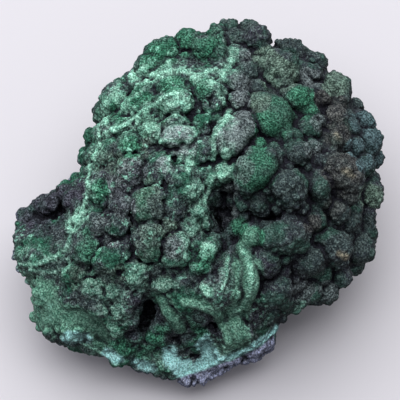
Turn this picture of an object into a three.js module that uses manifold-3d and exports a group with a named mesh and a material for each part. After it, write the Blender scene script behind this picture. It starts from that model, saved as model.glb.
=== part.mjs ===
// Malachite specimen: one hand-size piece of botryoidal malachite, grown on a skin of rough rock.
//
// Millimetres, +Z up, with the origin under the middle of the piece on the surface it rests on.
// The piece is drawn on its show face: u runs right, v runs up the face and w comes out of it, all
// from the middle of the piece. It then leans back on its underside, which is worn flat to rest.

import * as THREE from "three";
import { mergeVertices } from "three/addons/utils/BufferGeometryUtils.js";
import Module from "manifold-3d";

const wasm = await Module();
wasm.setup();

// ---- Driving dimensions -------------------------------------------------------------------------

const LEAN_BACK = 30; // degrees the show face leans back from facing straight up, toward -Y
const MID_HEIGHT = 30; // height of the middle of the piece over its rest face
const RIM_LEVEL = -8; // w of the rim, beside the middle
const RIM_SLOPE = -0.25; // how the rim falls back up the face, per mm of v
const FRONT_RISE = 35; // rise of the show face over the rim
const BACK_DEPTH = 31; // depth of the underside below the rim
const BACK_SLOPE = -0.1; // change in that depth per mm of v
const FRONT_FULLNESS = 2.5; // of the dome: 2 is an ellipsoid, more is fuller
const BACK_FULLNESS = 2.2; // of the bowl below: 1 is a cone, 2 a parabola
const BACK_VARIANCE = 1; // how much fuller the bowl is under the big dome, and thinner opposite it
const DOME_BEARING = 45; // bearing of the big dome from the middle, degrees
const LOBE_SINK = 0.15; // how far a lobe's centre lies under the body's skin, in radii
const UNDER_LOBE_SINK = 0.6; // the same for the hidden lobes
const SKIN_DETAIL = 22; // splits of each icosahedron edge on the stone's skin
const FACET_CROWDING = 0.3; // how far those facets crowd toward the show face
const BLOCK = 400; // side of the block that trims the rest face

// The rim of the piece as [bearing from +u in degrees, reach from the middle].
const RIM = [
  [0, 52], [15, 54], [25, 55], [45, 54], [55, 53], [65, 50], [75, 52], [85, 50], [95, 48],
  [105, 48], [113, 44], [126, 42], [140, 39], [155, 37], [165, 36], [172, 39], [179, 48],
  [185, 54], [198, 59], [209, 57], [217, 62], [225, 59], [240, 54], [255, 53], [268, 54],
  [280, 50], [293, 49], [302, 44], [315, 45], [327, 48], [340, 51], [352, 51],
];

// Swells and hollows of the show face: { u, v, spread along u, spread along v, rise }.
const SWELLS = [
  { u: 29, v: 8, su: 16, sv: 22, rise: 4 }, // the big botryoidal dome
  { u: -14, v: 4, su: 13, sv: 15, rise: 4 }, // the crumbly middle mass
  { u: -3, v: 36, su: 16, sv: 6, rise: 2 }, // the mossy upper shoulder
  { u: 6, v: -6, su: 5, sv: 10, rise: -15 }, // the dark recess between the two
  { u: 18, v: -5, su: 5, sv: 2.5, rise: -9 }, // the slot that runs from it under the dome
  { u: 14, v: -35, su: 9, sv: 6, rise: -5 }, // the swept tail under the dome
  { u: -45, v: -8, su: 13, sv: 13, rise: -13 }, // the thin left wing
  { u: -45, v: -4, su: 9, sv: 4.5, rise: -6 }, // the trough along it
  { u: -44, v: -32, su: 9, sv: 9, rise: -8 }, // the broken lower left corner
  { u: -12, v: -32, su: 11, sv: 7, rise: -4 }, // the shelf over the turquoise rim
  { u: -4, v: -51, su: 34, sv: 12, rise: -28 }, // the rim itself, low over the rock
  { u: -15, v: -32, su: 3.4, sv: 4.4, rise: -10 }, // the black pit in the shelf
  { u: -20, v: -40, su: 4, sv: 2.6, rise: -5 }, // the pocket under the pit
  { u: -1, v: -38, su: 5, sv: 3, rise: -6 }, // the slit under the banded ridge
  { u: -24, v: 28, su: 7, sv: 6, rise: -3 }, // the crusted upper left edge
];

// Lobes of the show face as [u, v, radius].
const LOBES = [
  // the big dome, from the crest down
  [24, 40, 5.5], [20, 27, 5.3], [25, 21, 5.8], [28, 31, 4.5], [33, 37, 4], [42, 33, 4],
  [35, 41, 3.5], [29, 44, 3.5], [20, 45, 3.5], [36, 31, 3.5], [41, 25, 3.5], [41, 18, 4.2],
  [30, 15, 4], [18, 34, 3.5], [12, 37, 4], [12, 29, 4.2], [15, 48, 4.5], [8, 46, 4],
  [20, 12, 6], [14, 8, 5.6], [12, 19, 6.3], [26, 4, 5], [42, 6, 7.5], [34, 4, 4.2],
  // its right edge
  [42, -4, 3.6], [47, 23, 3.4], [51, 17, 4], [50, 11, 3.4], [52, 3, 4], [51, -4, 3.5],
  [50, -10, 3.6], [48, -15, 4.5], [46, -21, 3.4],
  // its foot
  [23, -11, 5], [29, -11, 5.2], [17, -12, 4], [21, -18, 4], [27, -18, 3.5], [33, -18, 4],
  [40, -14, 5], [42, -23, 3.4], [23, -27, 4.8], [29, -27, 3.6], [34, -27, 3.5], [38, -27, 4],
  // the mossy shoulder and the crusts below it
  [-11, 44, 4.5], [-4, 46, 4], [1, 44, 4], [-15, 39, 3.5], [-7, 28, 5], [2, 30, 4.5], [-18, 31, 4],
  [-25, 30, 4], [-27, 22, 3.6], [-7, 19, 5], [-16, 18, 4], [-21, 14, 3.5], [1, 14, 3.5],
  // the crumbly middle
  [-12, 9, 5], [-21, 5, 5], [-6, 3, 5], [-14, -2, 5], [-29, 3, 4.5], [-14, -12, 6], [-7, -15, 4.5],
  [-24, -6, 4], [1, -16, 3.6], [-30, -8, 3.4],
  // the left wing and the shelf over the rim
  [-33, -15, 4.5], [-25, -18, 4], [-19, -22, 3.5], [-37, -22, 3.6], [-48, -18, 4], [-46, -28, 5],
  [-32, -31, 4], [-5, -29, 4], [6, -28, 4.5], [11, -40, 5], [-9, -47, 4], [-24, -45, 4],
  [-38, -39, 4.5],
];

// Rings of lobes that carry the botryoidal skin round the hidden sides, down to the rock:
// { fall below the rim in degrees, first and last bearing, radius }.
const UNDER_RINGS = [
  { fall: 14, from: -42, to: 118, radius: 4.6 },
  { fall: 29, from: -30, to: 150, radius: 5 },
  { fall: 45, from: -12, to: 165, radius: 5.2 },
];
const UNDER_SPACING = 1.75; // gap between neighbours in a ring, in radii
const UNDER_SPREAD = 0.28; // how much the hidden lobes differ in size
const UNDER_WANDER = 3.5; // how far they stray up and down from their ring, degrees

// The heart of the stone, which its skin grows out from in every direction.
const HEART = new THREE.Vector3(0, 0, RIM_LEVEL);

// ---- Solids -------------------------------------------------------------------------------------

/** A closed three.js geometry as a manifold solid. */
function solid(geometry) {
  const bare = geometry.clone();
  bare.deleteAttribute("normal");
  bare.deleteAttribute("uv");
  const merged = mergeVertices(bare, 1e-4);
  const vertProperties = merged.attributes.position.array;
  const triVerts = new Uint32Array(merged.index.array);
  return new wasm.Manifold(new wasm.Mesh({ numProp: 3, vertProperties, triVerts }));
}

/** A manifold solid as a three.js geometry. */
function geometryOf(body) {
  const mesh = body.getMesh();
  const geometry = new THREE.BufferGeometry();
  geometry.setAttribute("position", new THREE.BufferAttribute(mesh.vertProperties, 3));
  geometry.setIndex(new THREE.BufferAttribute(mesh.triVerts, 1));
  return geometry;
}

// ---- The body -----------------------------------------------------------------------------------

/** Entry i of the rim, counted on round it in either direction. */
function rimPoint(i) {
  const lap = Math.floor(i / RIM.length);
  const [bearing, reach] = RIM[i - lap * RIM.length];
  return { bearing: bearing + 360 * lap, reach };
}

/** Reach of the rim at a bearing in degrees, on a smooth curve through its points. */
function reachAt(bearing) {
  const turn = THREE.MathUtils.euclideanModulo(bearing, 360);
  const after = RIM.findIndex(([b]) => b > turn);
  const i = after < 0 ? RIM.length - 1 : after - 1;
  const [a, b, c, d] = [i - 1, i, i + 1, i + 2].map(rimPoint);
  const span = c.bearing - b.bearing;
  const t = (turn - b.bearing) / span;
  const leave = (span * (c.reach - a.reach)) / (c.bearing - a.bearing);
  const arrive = (span * (d.reach - b.reach)) / (d.bearing - b.bearing);
  const bend = leave + arrive - 2 * (c.reach - b.reach);
  return b.reach + t * (leave + t * (c.reach - b.reach - leave + (t - 1) * bend));
}

/** Bearing of a point from +u, in degrees. */
function bearingOf(u, v) {
  return THREE.MathUtils.radToDeg(Math.atan2(v, u));
}

/** How far out toward the rim a point lies: 0 in the middle, 1 on the rim. */
function outward(u, v) {
  return Math.min(Math.hypot(u, v) / reachAt(bearingOf(u, v)), 1);
}

/** Sum of the swells and hollows at a point of the show face. */
function swell(u, v) {
  return SWELLS.reduce((sum, s) => {
    const away = ((u - s.u) / s.su) ** 2 + ((v - s.v) / s.sv) ** 2;
    return sum + s.rise * Math.exp(-away);
  }, 0);
}

/** Height w of the show face at (u, v). */
function front(u, v) {
  const cap = Math.sqrt(1 - outward(u, v) ** FRONT_FULLNESS);
  return RIM_LEVEL + RIM_SLOPE * v + cap * (FRONT_RISE + swell(u, v));
}

/** Height w of the underside at (u, v). */
function back(u, v) {
  const fromDome = THREE.MathUtils.degToRad(bearingOf(u, v) - DOME_BEARING);
  const bowl = 1 - outward(u, v) ** (BACK_FULLNESS + BACK_VARIANCE * Math.cos(fromDome));
  return RIM_LEVEL + RIM_SLOPE * v - bowl * (BACK_DEPTH + BACK_SLOPE * v);
}

/** The point of the body, without lobes, that a direction from the middle leads to. */
function bodyPoint(direction) {
  const reach = reachAt(bearingOf(direction.x, direction.y));
  const u = reach * direction.x;
  const v = reach * direction.y;
  return new THREE.Vector3(u, v, direction.z >= 0 ? front(u, v) : back(u, v));
}

// ---- Lobes and skin -----------------------------------------------------------------------------

/** A lobe of the show face, a ball sunk a little into it. */
function frontLobe([u, v, radius]) {
  const centre = new THREE.Vector3(u, v, front(u, v) - LOBE_SINK * radius);
  return new THREE.Sphere(centre, radius);
}

/** The lobes of one hidden ring, in an uneven row. */
function ringLobes({ fall, from, to, radius }) {
  const lobes = [];
  let bearing = from;
  for (let count = 0; bearing < to; count += 1) {
    const size = radius * (1 + UNDER_SPREAD * Math.sin(count * 2.4 + fall));
    const drop = THREE.MathUtils.degToRad(fall + UNDER_WANDER * Math.sin(count * 1.7));
    const angle = THREE.MathUtils.degToRad(bearing);
    const direction = new THREE.Vector3(
      Math.cos(drop) * Math.cos(angle),
      Math.cos(drop) * Math.sin(angle),
      -Math.sin(drop),
    );
    const place = bodyPoint(direction);
    const inward = place.clone().sub(HEART).setLength(-UNDER_LOBE_SINK * size);
    lobes.push(new THREE.Sphere(place.add(inward), size));
    const reach = reachAt(bearing) * Math.cos(drop);
    bearing += THREE.MathUtils.radToDeg((UNDER_SPACING * size) / reach);
  }
  return lobes;
}

/** How far a ray from the heart of the stone runs before it leaves a lobe, or 0 if it misses. */
function exitOf(lobe, ray) {
  const toCentre = lobe.center.clone().sub(HEART);
  const along = toCentre.dot(ray);
  const inside = lobe.radius ** 2 - toCentre.lengthSq() + along ** 2;
  return inside > 0 ? along + Math.sqrt(inside) : 0;
}

/** The stone's whole skin: a ball whose every point moves out to the body or to the outermost lobe. */
function skin() {
  const lobes = [...LOBES.map(frontLobe), ...UNDER_RINGS.flatMap(ringLobes)];
  const geometry = new THREE.IcosahedronGeometry(1, SKIN_DETAIL);
  const position = geometry.attributes.position;
  for (let i = 0; i < position.count; i += 1) {
    const direction = new THREE.Vector3().fromBufferAttribute(position, i);
    direction.z += FACET_CROWDING;
    const toBody = bodyPoint(direction.normalize()).sub(HEART);
    const ray = toBody.clone().normalize();
    const exits = lobes.map((lobe) => exitOf(lobe, ray));
    const point = ray.multiplyScalar(Math.max(toBody.length(), ...exits)).add(HEART);
    position.setXYZ(i, point.x, point.y, point.z);
  }
  return geometry;
}

// ---- The specimen -------------------------------------------------------------------------------

/** The stone, leaned back and worn flat where it rests. */
function specimen() {
  const leaning = skin();
  leaning.rotateX(THREE.MathUtils.degToRad(LEAN_BACK));
  leaning.translate(0, 0, MID_HEIGHT);
  const below = new THREE.BoxGeometry(BLOCK, BLOCK, BLOCK).translate(0, 0, -BLOCK / 2);
  return geometryOf(solid(leaning).subtract(solid(below)));
}

const geometry = specimen();
geometry.computeBoundingBox();
const middle = geometry.boundingBox.getCenter(new THREE.Vector3());
geometry.translate(-middle.x, -middle.y, 0);
geometry.computeVertexNormals();

const malachite = new THREE.MeshStandardMaterial({ color: 0x3f6b55, roughness: 0.8, metalness: 0 });
const stone = new THREE.Mesh(geometry, malachite);
stone.name = "malachite_specimen";

const object = new THREE.Group();
object.add(stone);

export default object;
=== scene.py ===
"""Malachite specimen: the finished look of one hand-size botryoidal stone.

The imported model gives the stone's size and its broad shape. This script grows the finer shape on it:
the round lobes of the big dome, the crumbly middle mass, the pale crusts and veins, the pits, and the
broken rim over rough rock. The whole stone is one closed mesh in one piece.

Lengths in the stone's own classes are in millimetres on its show face: u runs right, v runs up the
face and w comes out of it. ShowFace turns them into the frame's metres.
"""

import logging
import math
from collections.abc import Callable, Iterator
from dataclasses import dataclass, field
from enum import Enum

import bpy
import numpy as np
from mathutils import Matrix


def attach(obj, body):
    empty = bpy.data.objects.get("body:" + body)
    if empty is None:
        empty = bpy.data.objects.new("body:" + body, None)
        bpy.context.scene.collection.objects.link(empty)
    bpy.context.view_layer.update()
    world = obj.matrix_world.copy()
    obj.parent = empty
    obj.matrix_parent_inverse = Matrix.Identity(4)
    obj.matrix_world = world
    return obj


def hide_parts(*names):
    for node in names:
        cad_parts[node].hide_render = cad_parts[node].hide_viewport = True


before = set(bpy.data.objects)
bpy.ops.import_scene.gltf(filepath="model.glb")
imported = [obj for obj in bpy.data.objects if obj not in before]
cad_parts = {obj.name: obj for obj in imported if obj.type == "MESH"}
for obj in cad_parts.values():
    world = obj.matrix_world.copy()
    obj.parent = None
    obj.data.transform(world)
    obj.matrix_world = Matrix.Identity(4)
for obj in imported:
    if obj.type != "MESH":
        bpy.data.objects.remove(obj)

import openvdb
from mathutils import Vector

log = logging.getLogger("malachite")

NODE = "malachite_specimen"
BODY = "root"
MM = 0.001
SEED = 29
GOLDEN_ANGLE = math.pi * (3.0 - math.sqrt(5.0))
LOBE_BLEND = 0.35  # fillet of a lobe in mm
NUB_BLEND = 0.22  # fillet of a lobe's nub in mm
NUB_SINK = 0.75  # depth of a nub's middle, as a share of its radius
VEIN_ROOM = 4.5  # how far beside a vein its ragged edge and its dust may reach, in mm

Colour = tuple[float, float, float]
Path = tuple[tuple[float, float], ...]


# ---- Small maths


def smoothstep(low: float, high: float, value: np.ndarray) -> np.ndarray:
    """Ease a value from 0 at low to 1 at high, which may lie below low."""
    t = np.clip((value - low) / (high - low), 0.0, 1.0)
    return t * t * (3.0 - 2.0 * t)


def cell_corners(part: np.ndarray) -> Iterator[tuple[np.ndarray, np.ndarray]]:
    """Go round the eight corners of grid cells.

    Args:
        part: Rows of how far places lie across their cells, from 0 to 1.

    Returns:
        Each corner's step from the cell's lowest one, and its weight at each place.
    """
    for corner in range(8):
        step = np.array([corner & 1, corner >> 1 & 1, corner >> 2 & 1])
        yield step, np.prod(np.where(step, part, 1.0 - part), axis=1)


class Noise:
    """Smooth seeded noise in space, in the range 0 to 1."""

    SIDE = 64  # lattice points along one side, after which it repeats
    LAYER_SHIFT = 17.3  # what keeps the layers from lining up, in mm

    def __init__(self, seed: int) -> None:
        """Draw the lattice of one noise field."""
        rng = np.random.default_rng(seed)
        self.lattice = rng.random((self.SIDE,) * 3, dtype=np.float32)

    def at(self, points: np.ndarray, size: float) -> np.ndarray:
        """Sample the noise.

        Args:
            points: Rows of coordinates in mm.
            size: Distance in mm between neighbouring bumps.

        Returns:
            One value for each row.
        """
        q = (points / size).astype(np.float32)
        cell = np.floor(q).astype(np.int32)
        t = q - cell
        t = t * t * (3.0 - 2.0 * t)
        total = np.zeros(len(q), np.float32)
        for step, weight in cell_corners(t):
            i, j, k = ((cell + step) % self.SIDE).T
            total += weight * self.lattice[i, j, k]
        return total

    def layered(self, points: np.ndarray, size: float, layers: int = 3) -> np.ndarray:
        """Sum of ever finer and weaker layers of the noise, in the range 0 to 1.

        Args:
            points: Rows of coordinates in mm.
            size: Bump distance of the coarsest layer in mm.
            layers: How many layers to sum.

        Returns:
            One value for each row.
        """
        total = np.zeros(len(points), np.float32)
        weight = 0.0
        for layer in range(layers):
            share = 0.5**layer
            total += share * self.at(points + self.LAYER_SHIFT * layer, size * share)
            weight += share
        return total / weight


def grain_height(points: np.ndarray, size: float, seed: int) -> np.ndarray:
    """Height of a skin of small round grains, from 0 between them to 1 on their tops.

    Args:
        points: Rows of coordinates in mm.
        size: Spacing of the grains in mm.
        seed: Seed of the grains' places.

    Returns:
        One value for each row.
    """
    side = 48  # cells after which the grains repeat
    jitter = np.random.default_rng(seed).random((side, side, side, 3), dtype=np.float32)
    q = (points / size).astype(np.float32)
    cell = np.floor(q).astype(np.int32)
    nearest = np.full(len(q), np.inf, np.float32)
    for corner in np.ndindex(3, 3, 3):
        near = cell + np.array(corner) - 1
        i, j, k = (near % side).T
        gap = near + jitter[i, j, k] - q
        nearest = np.minimum(nearest, np.einsum("ij,ij->i", gap, gap))
    return 1.0 - np.clip(np.sqrt(nearest), 0.0, 1.0)


# ---- The show face


@dataclass(frozen=True)
class ShowFace:
    """The leaning plane that the stone is drawn on.

    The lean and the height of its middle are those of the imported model, whose box was then centred
    on the origin by the middle given here.
    """

    lean: float = math.radians(30)
    middle_height: float = 30.0
    box_middle: tuple[float, float] = (-0.203, 3.254)

    def to_face(self, points: np.ndarray) -> np.ndarray:
        """Turn places in the frame into places on the show face.

        Args:
            points: Rows of x, y and z in metres.

        Returns:
            Rows of u, v and w in mm.
        """
        x, y, z = (points / MM).T
        x = x + self.box_middle[0]
        y = y + self.box_middle[1]
        z = z - self.middle_height
        c, s = math.cos(self.lean), math.sin(self.lean)
        return np.column_stack([x, y * c + z * s, z * c - y * s])

    def to_frame(self, points: np.ndarray) -> np.ndarray:
        """Turn places on the show face into places in the frame.

        Args:
            points: Rows of u, v and w in mm.

        Returns:
            Rows of x, y and z in metres.
        """
        u, v, w = np.asarray(points, float).T
        c, s = math.cos(self.lean), math.sin(self.lean)
        y = v * c - w * s - self.box_middle[1]
        z = v * s + w * c + self.middle_height
        return np.column_stack([u - self.box_middle[0], y, z]) * MM

    def height(self, v: np.ndarray, w: np.ndarray) -> np.ndarray:
        """Height in mm over the resting surface."""
        return v * math.sin(self.lean) + w * math.cos(self.lean) + self.middle_height


FACE = ShowFace()


# ---- The distance field


class Field:
    """Distance to the stone's skin on a grid of cells, in mm, negative inside."""

    REACH = 4.0  # how far from the skin the distance is kept
    BALL_ROOM = 1.0  # space that is changed round a joined ball

    def __init__(self, low: np.ndarray, values: np.ndarray, cell: float) -> None:
        """Keep a grid.

        Args:
            low: Its lowest corner in face millimetres.
            values: The distance at each of its cells.
            cell: Its cell size in mm.
        """
        self.low = low
        self.values = values
        self.cell = cell

    def copy(self) -> "Field":
        """A copy of the field that can change on its own."""
        return Field(self.low, self.values.copy(), self.cell)

    def draw_in(self, cells: np.ndarray, amounts: np.ndarray) -> None:
        """Draw the skin in by amounts in mm at flat cell numbers."""
        self.values.reshape(-1)[cells] += amounts

    @classmethod
    def from_mesh(cls, points: np.ndarray, triangles: np.ndarray, cell: float, room: float) -> "Field":
        """Measure a closed mesh.

        Args:
            points: Vertices in face millimetres.
            triangles: Rows of three vertex numbers.
            cell: Cell size in mm.
            room: Space to leave round the mesh in mm.

        Returns:
            The mesh's distance field.
        """
        low = np.floor((points.min(0) - room) / cell).astype(int)
        high = np.ceil((points.max(0) + room) / cell).astype(int)
        transform = openvdb.createLinearTransform(voxelSize=cell)
        grid = openvdb.FloatGrid.createLevelSetFromPolygons(
            points.astype(np.float32),
            triangles=triangles.astype(np.uint32),
            transform=transform,
            halfWidth=cls.REACH / cell,
        )
        values = np.empty(high - low, np.float32)
        grid.copyToArray(values, ijk=tuple(int(n) for n in low))
        return cls(low * cell, values, cell)

    def window(self, centre: np.ndarray, reach: float) -> tuple[tuple[slice, ...], list[np.ndarray]]:
        """The cells round a point.

        Args:
            centre: The point in face millimetres.
            reach: Half the window's side in mm.

        Returns:
            The window's slices, and its cells' open-grid offsets from the point.
        """
        first = np.floor((centre - reach - self.low) / self.cell).astype(int)
        last = np.ceil((centre + reach - self.low) / self.cell).astype(int) + 1
        first = np.clip(first, 0, self.values.shape)
        last = np.clip(last, 0, self.values.shape)
        slices = tuple(slice(a, b) for a, b in zip(first, last))
        offsets = []
        for axis in range(3):
            shape = [1, 1, 1]
            shape[axis] = -1
            ticks = self.low[axis] + self.cell * np.arange(first[axis], last[axis]) - centre[axis]
            offsets.append(ticks.astype(np.float32).reshape(shape))
        return slices, offsets

    @staticmethod
    def ball_distance(offsets: list[np.ndarray], radii: np.ndarray, turn: float) -> np.ndarray:
        """Distance to an ellipsoid that is turned about w.

        Args:
            offsets: Open-grid offsets of the cells from its middle.
            radii: Its half sizes along its own axes, in mm.
            turn: Its turn in radians.

        Returns:
            One distance for each cell, in mm.
        """
        u, v, w = offsets
        c, s = math.cos(turn), math.sin(turn)
        along = (u * c + v * s) / radii[0]
        across = (v * c - u * s) / radii[1]
        out = w / radii[2]
        return (np.sqrt(along**2 + across**2 + out**2) - 1.0) * float(np.min(radii))

    def join_ball(
        self, centre: np.ndarray, radii: np.ndarray | float, blend: float, turn: float = 0.0, side: int = 1
    ) -> None:
        """Join an ellipsoid to the stone, or cut it out.

        Args:
            centre: Its middle in face millimetres.
            radii: Its half sizes along its own axes.
            blend: Width of the fillet where it meets the stone, in mm.
            turn: Its turn about w in radians.
            side: 1 to join it, -1 to cut it out.
        """
        radii = np.broadcast_to(np.asarray(radii, float), 3)
        slices, offsets = self.window(centre, float(radii.max()) + self.BALL_ROOM)
        ball = self.ball_distance(offsets, radii, turn)
        old = side * self.values[slices]
        mix = np.clip(0.5 + 0.5 * (old - ball) / blend, 0.0, 1.0)
        self.values[slices] = side * (old * (1.0 - mix) + ball * mix - blend * mix * (1.0 - mix))

    def near_skin(self, reach: float) -> tuple[np.ndarray, np.ndarray]:
        """The cells within a distance of the skin.

        Args:
            reach: The distance in mm.

        Returns:
            Flat cell numbers, and the cells' places in face millimetres.
        """
        flat = np.flatnonzero(np.abs(self.values.ravel()) < reach)
        index = np.column_stack(np.unravel_index(flat, self.values.shape))
        return flat, (self.low + self.cell * index).astype(np.float32)

    def blurred(self, values: np.ndarray, radius: float, passes: int = 2) -> np.ndarray:
        """Average an array of cells over a box, more than once.

        Args:
            values: One value for each cell.
            radius: Half the box's side in mm.
            passes: How many times to average.

        Returns:
            The blurred array.
        """
        reach = max(1, round(radius / self.cell))
        for _ in range(passes):
            for axis in range(3):
                pad = [(0, 0)] * 3
                pad[axis] = (reach + 1, reach)
                total = np.cumsum(np.pad(values, pad, mode="edge"), axis=axis, dtype=np.float64)
                width = 2 * reach + 1
                count = values.shape[axis]
                upper = np.take(total, range(width, width + count), axis=axis)
                lower = np.take(total, range(count), axis=axis)
                values = ((upper - lower) / width).astype(np.float32)
        return values

    def sample(self, values: np.ndarray, points: np.ndarray) -> np.ndarray:
        """Read an array of cells between its cells.

        Args:
            values: One value for each cell.
            points: Rows of places in face millimetres.

        Returns:
            One value for each row.
        """
        q = (points - self.low) / self.cell
        cell = np.clip(np.floor(q).astype(int), 0, np.array(values.shape) - 2)
        t = np.clip(q - cell, 0.0, 1.0)
        total = np.zeros(len(points))
        for step, weight in cell_corners(t):
            i, j, k = (cell + step).T
            total += weight * values[i, j, k]
        return total

    def slope(self, points: np.ndarray) -> np.ndarray:
        """Find the way out of the stone.

        Args:
            points: Rows of places in face millimetres.

        Returns:
            A direction of length 1 for each row.
        """
        rows = []
        for step in self.cell * np.eye(3):
            rows.append(self.sample(self.values, points + step) - self.sample(self.values, points - step))
        slope = np.column_stack(rows)
        return slope / np.maximum(np.linalg.norm(slope, axis=1, keepdims=True), 1e-9)

    def tops(self) -> np.ndarray:
        """Find the top of every column of cells.

        Returns:
            Height w of the skin over each (u, v) column, or minus infinity where there is no stone.
        """
        inside = self.values < 0.0
        count = self.values.shape[2]
        last = count - 1 - np.argmax(inside[:, :, ::-1], axis=2)
        any_inside = inside.any(axis=2)
        last = np.where(any_inside, np.minimum(last, count - 2), 0)
        i, j = np.indices(last.shape)
        here, over = self.values[i, j, last], self.values[i, j, last + 1]
        part = np.where(any_inside, here / np.minimum(here - over, -1e-6), 0.0)
        heights = self.low[2] + self.cell * (last + np.clip(part, 0.0, 1.0))
        return np.where(any_inside, heights, -np.inf)

    def top_at(self, tops: np.ndarray, u: float, v: float) -> float:
        """Read a map of heights at one point of the show face.

        Args:
            tops: Height w of the skin over each column.
            u: Place to the right in mm.
            v: Place up the face in mm.

        Returns:
            Height w of the nearest column.
        """
        i = int(np.clip(round((u - self.low[0]) / self.cell), 0, tops.shape[0] - 1))
        j = int(np.clip(round((v - self.low[1]) / self.cell), 0, tops.shape[1] - 1))
        return float(tops[i, j])

    def to_quads(self) -> tuple[np.ndarray, np.ndarray]:
        """Turn the skin into quads.

        Returns:
            Rows of vertices in face millimetres, and rows of four vertex numbers.
        """
        keep = 3.0 * self.cell
        grid = openvdb.FloatGrid(keep)
        grid.copyFromArray(np.clip(self.values, -keep, keep).astype(np.float32), tolerance=1e-4)
        points, quads = grid.convertToQuads(isovalue=0.0)
        return self.low + np.asarray(points, float) * self.cell, np.asarray(quads, int)[:, ::-1]


# ---- Minerals and habits


class Mineral(Enum):
    """A colour that the stone shows, by the name of its mask on the mesh."""

    OLIVE = "olive"
    GREEN = "green"
    BROWN = "brown"
    BLUE = "blue"
    MAUVE = "mauve"
    MINT = "mint"
    TURQUOISE = "turquoise"
    ROCK = "rock"
    SILKY = "silky"
    TAN = "tan"
    # partly the stone's own purple-black and partly painted shade, laid in its pits, valley and trough
    DUSK = "dusk"
    FROST = "frost"


class Habit(Enum):
    """How the skin of a lobe grew."""

    GRAINY = "grainy"
    KNOBBLY = "knobbly"


@dataclass(frozen=True)
class Lobe:
    """One round lobe of the show face.

    Args:
        u: Place to the right, in mm.
        v: Place up the face, in mm.
        radius: Radius in mm.
        hue: Mineral that tints it, or None for the dark body colour.
        long: Length over width, seen from the front.
        turn: Bearing of its length in degrees.
        habit: How its skin grew.
    """

    u: float
    v: float
    radius: float
    hue: Mineral | None = None
    long: float = 1.0
    turn: float = 0.0
    habit: Habit = Habit.KNOBBLY


@dataclass(frozen=True)
class Vein:
    """A vein or a patch of one mineral on the show face.

    Args:
        mineral: What it is made of.
        path: Points along its middle, in mm.
        width: Its width in mm.
        strength: How fully it covers what is under it.
        relief: How far it stands proud, in mm.
        ragged: How broken its edge is, from 0 to 1.
    """

    mineral: Mineral
    path: Path
    width: float
    strength: float = 1.0
    relief: float = 0.0
    ragged: float = 0.6


@dataclass(frozen=True)
class Pit:
    """A hollow of the show face, by its place and half sizes in mm and its turn in degrees."""

    u: float
    v: float
    half_length: float
    half_width: float
    depth: float
    turn: float = 0.0


OLIVE, GREEN, BROWN, BLUE, MAUVE, MINT, TURQUOISE, ROCK, SILKY, TAN, DUSK, FROST = Mineral
GRAINY = Habit.GRAINY


def table(kind: type, *rows: tuple) -> tuple:
    """Turn rows of plain values into records of one kind."""
    return tuple(kind(*row) for row in rows)


DOME_LOBES = table(
    Lobe,
    # the crest and the upper right
    (23.7, 38.1, 6.2, OLIVE, 1.08, 60), (19, 43.8, 3.8, OLIVE), (17, 48.4, 4.8), (15, 51.6, 3.6),
    (10.5, 48, 4), (9.3, 52, 2.8), (5, 50, 2.6, GREEN), (13, 43, 2.8, MAUVE),
    (27.6, 45, 4.4, None, 1.35, -22), (34.6, 41.4, 3.6), (33.6, 37.4, 3.8, MAUVE), (40.6, 34.6, 4.2, OLIVE),
    (30.3, 28.8, 5.6, GREEN), (36.6, 30.2, 3.2, BROWN), (41.4, 28.6, 3.3, BROWN), (46.8, 28.2, 2.8),
    (40.2, 25, 3.2, BROWN), (35.4, 23.2, 2.8, MAUVE), (40.8, 20, 4.6, BROWN), (31.2, 20.6, 3.6),
    (27.8, 14.6, 4.2), (33.5, 15.5, 3, MAUVE), (35.5, 11.5, 2.6),
    (21.4, 24.2, 6.7, GREEN, 1.12, 70, GRAINY), (18.3, 28.4, 4, OLIVE, 1, 0, GRAINY), (16.8, 31.8, 3),
    (12, 34.4, 3.7, MAUVE), (12, 29.3, 3.8, MAUVE), (16, 38, 2.3),
    # the middle
    (17.1, 8.8, 6.3, GREEN, 1.3, 38, GRAINY), (9.6, 18.2, 6, MAUVE, 1.1, 60, GRAINY),
    (13, 22.5, 4.4, MAUVE, 1, 0, GRAINY), (17.6, 16.6, 2.4, GREEN, 1, 0, GRAINY),
    (27, 2.6, 5.6, None, 1.35, 88), (35.7, 3.4, 4, None, 1.35, 88), (42.4, 8.2, 6.6, BROWN, 1.2, -10),
    (43.8, 1.8, 3.6, BROWN, 1.45, -20), (40.2, -2.6, 3.6, BROWN), (45, -6, 3.4), (33.6, -7, 3, BROWN),
    (34, -2.5, 2.2), (38.5, -7.8, 2.4), (9, 3, 2.6, MAUVE), (8.5, -3.8, 2.8, MAUVE), (17.4, -1.2, 3.2),
    (11.4, -8.4, 3.3, GREEN, 1.2, 70, GRAINY),
    # the right edge
    (48.6, 23.6, 4, BLUE, 1.2, -10), (52.6, 22.4, 2.6, BLUE), (51.6, 18, 3.6, BLUE), (46.2, 15.6, 3, BLUE),
    (52.6, 12.4, 3, BLUE), (48.6, 10.6, 2.6, BLUE), (52.8, 6.6, 2), (51.4, 1, 4, OLIVE), (50.5, -4.4, 2.8),
    (49.8, -10.2, 3.9, None, 1.2, 80), (49.2, -15.6, 3), (47.2, -19.4, 2.5), (42, -22.2, 3.5),
    # the foot
    (25.2, -11.1, 5.9, None, 1.3, 4), (16.2, -11, 3.3, GREEN, 1, 0, GRAINY), (20.4, -18.4, 3.9),
    (31.6, -19.2, 4.7, None, 1.5, -6), (40.2, -14.2, 5), (37, -21.5, 2.4), (22.2, -27.6, 4.7),
    (31, -27.4, 4.1, MAUVE), (38.4, -27.4, 3.4, MAUVE), (35, -29.5, 2.4), (21, -33.5, 3),
)

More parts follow.
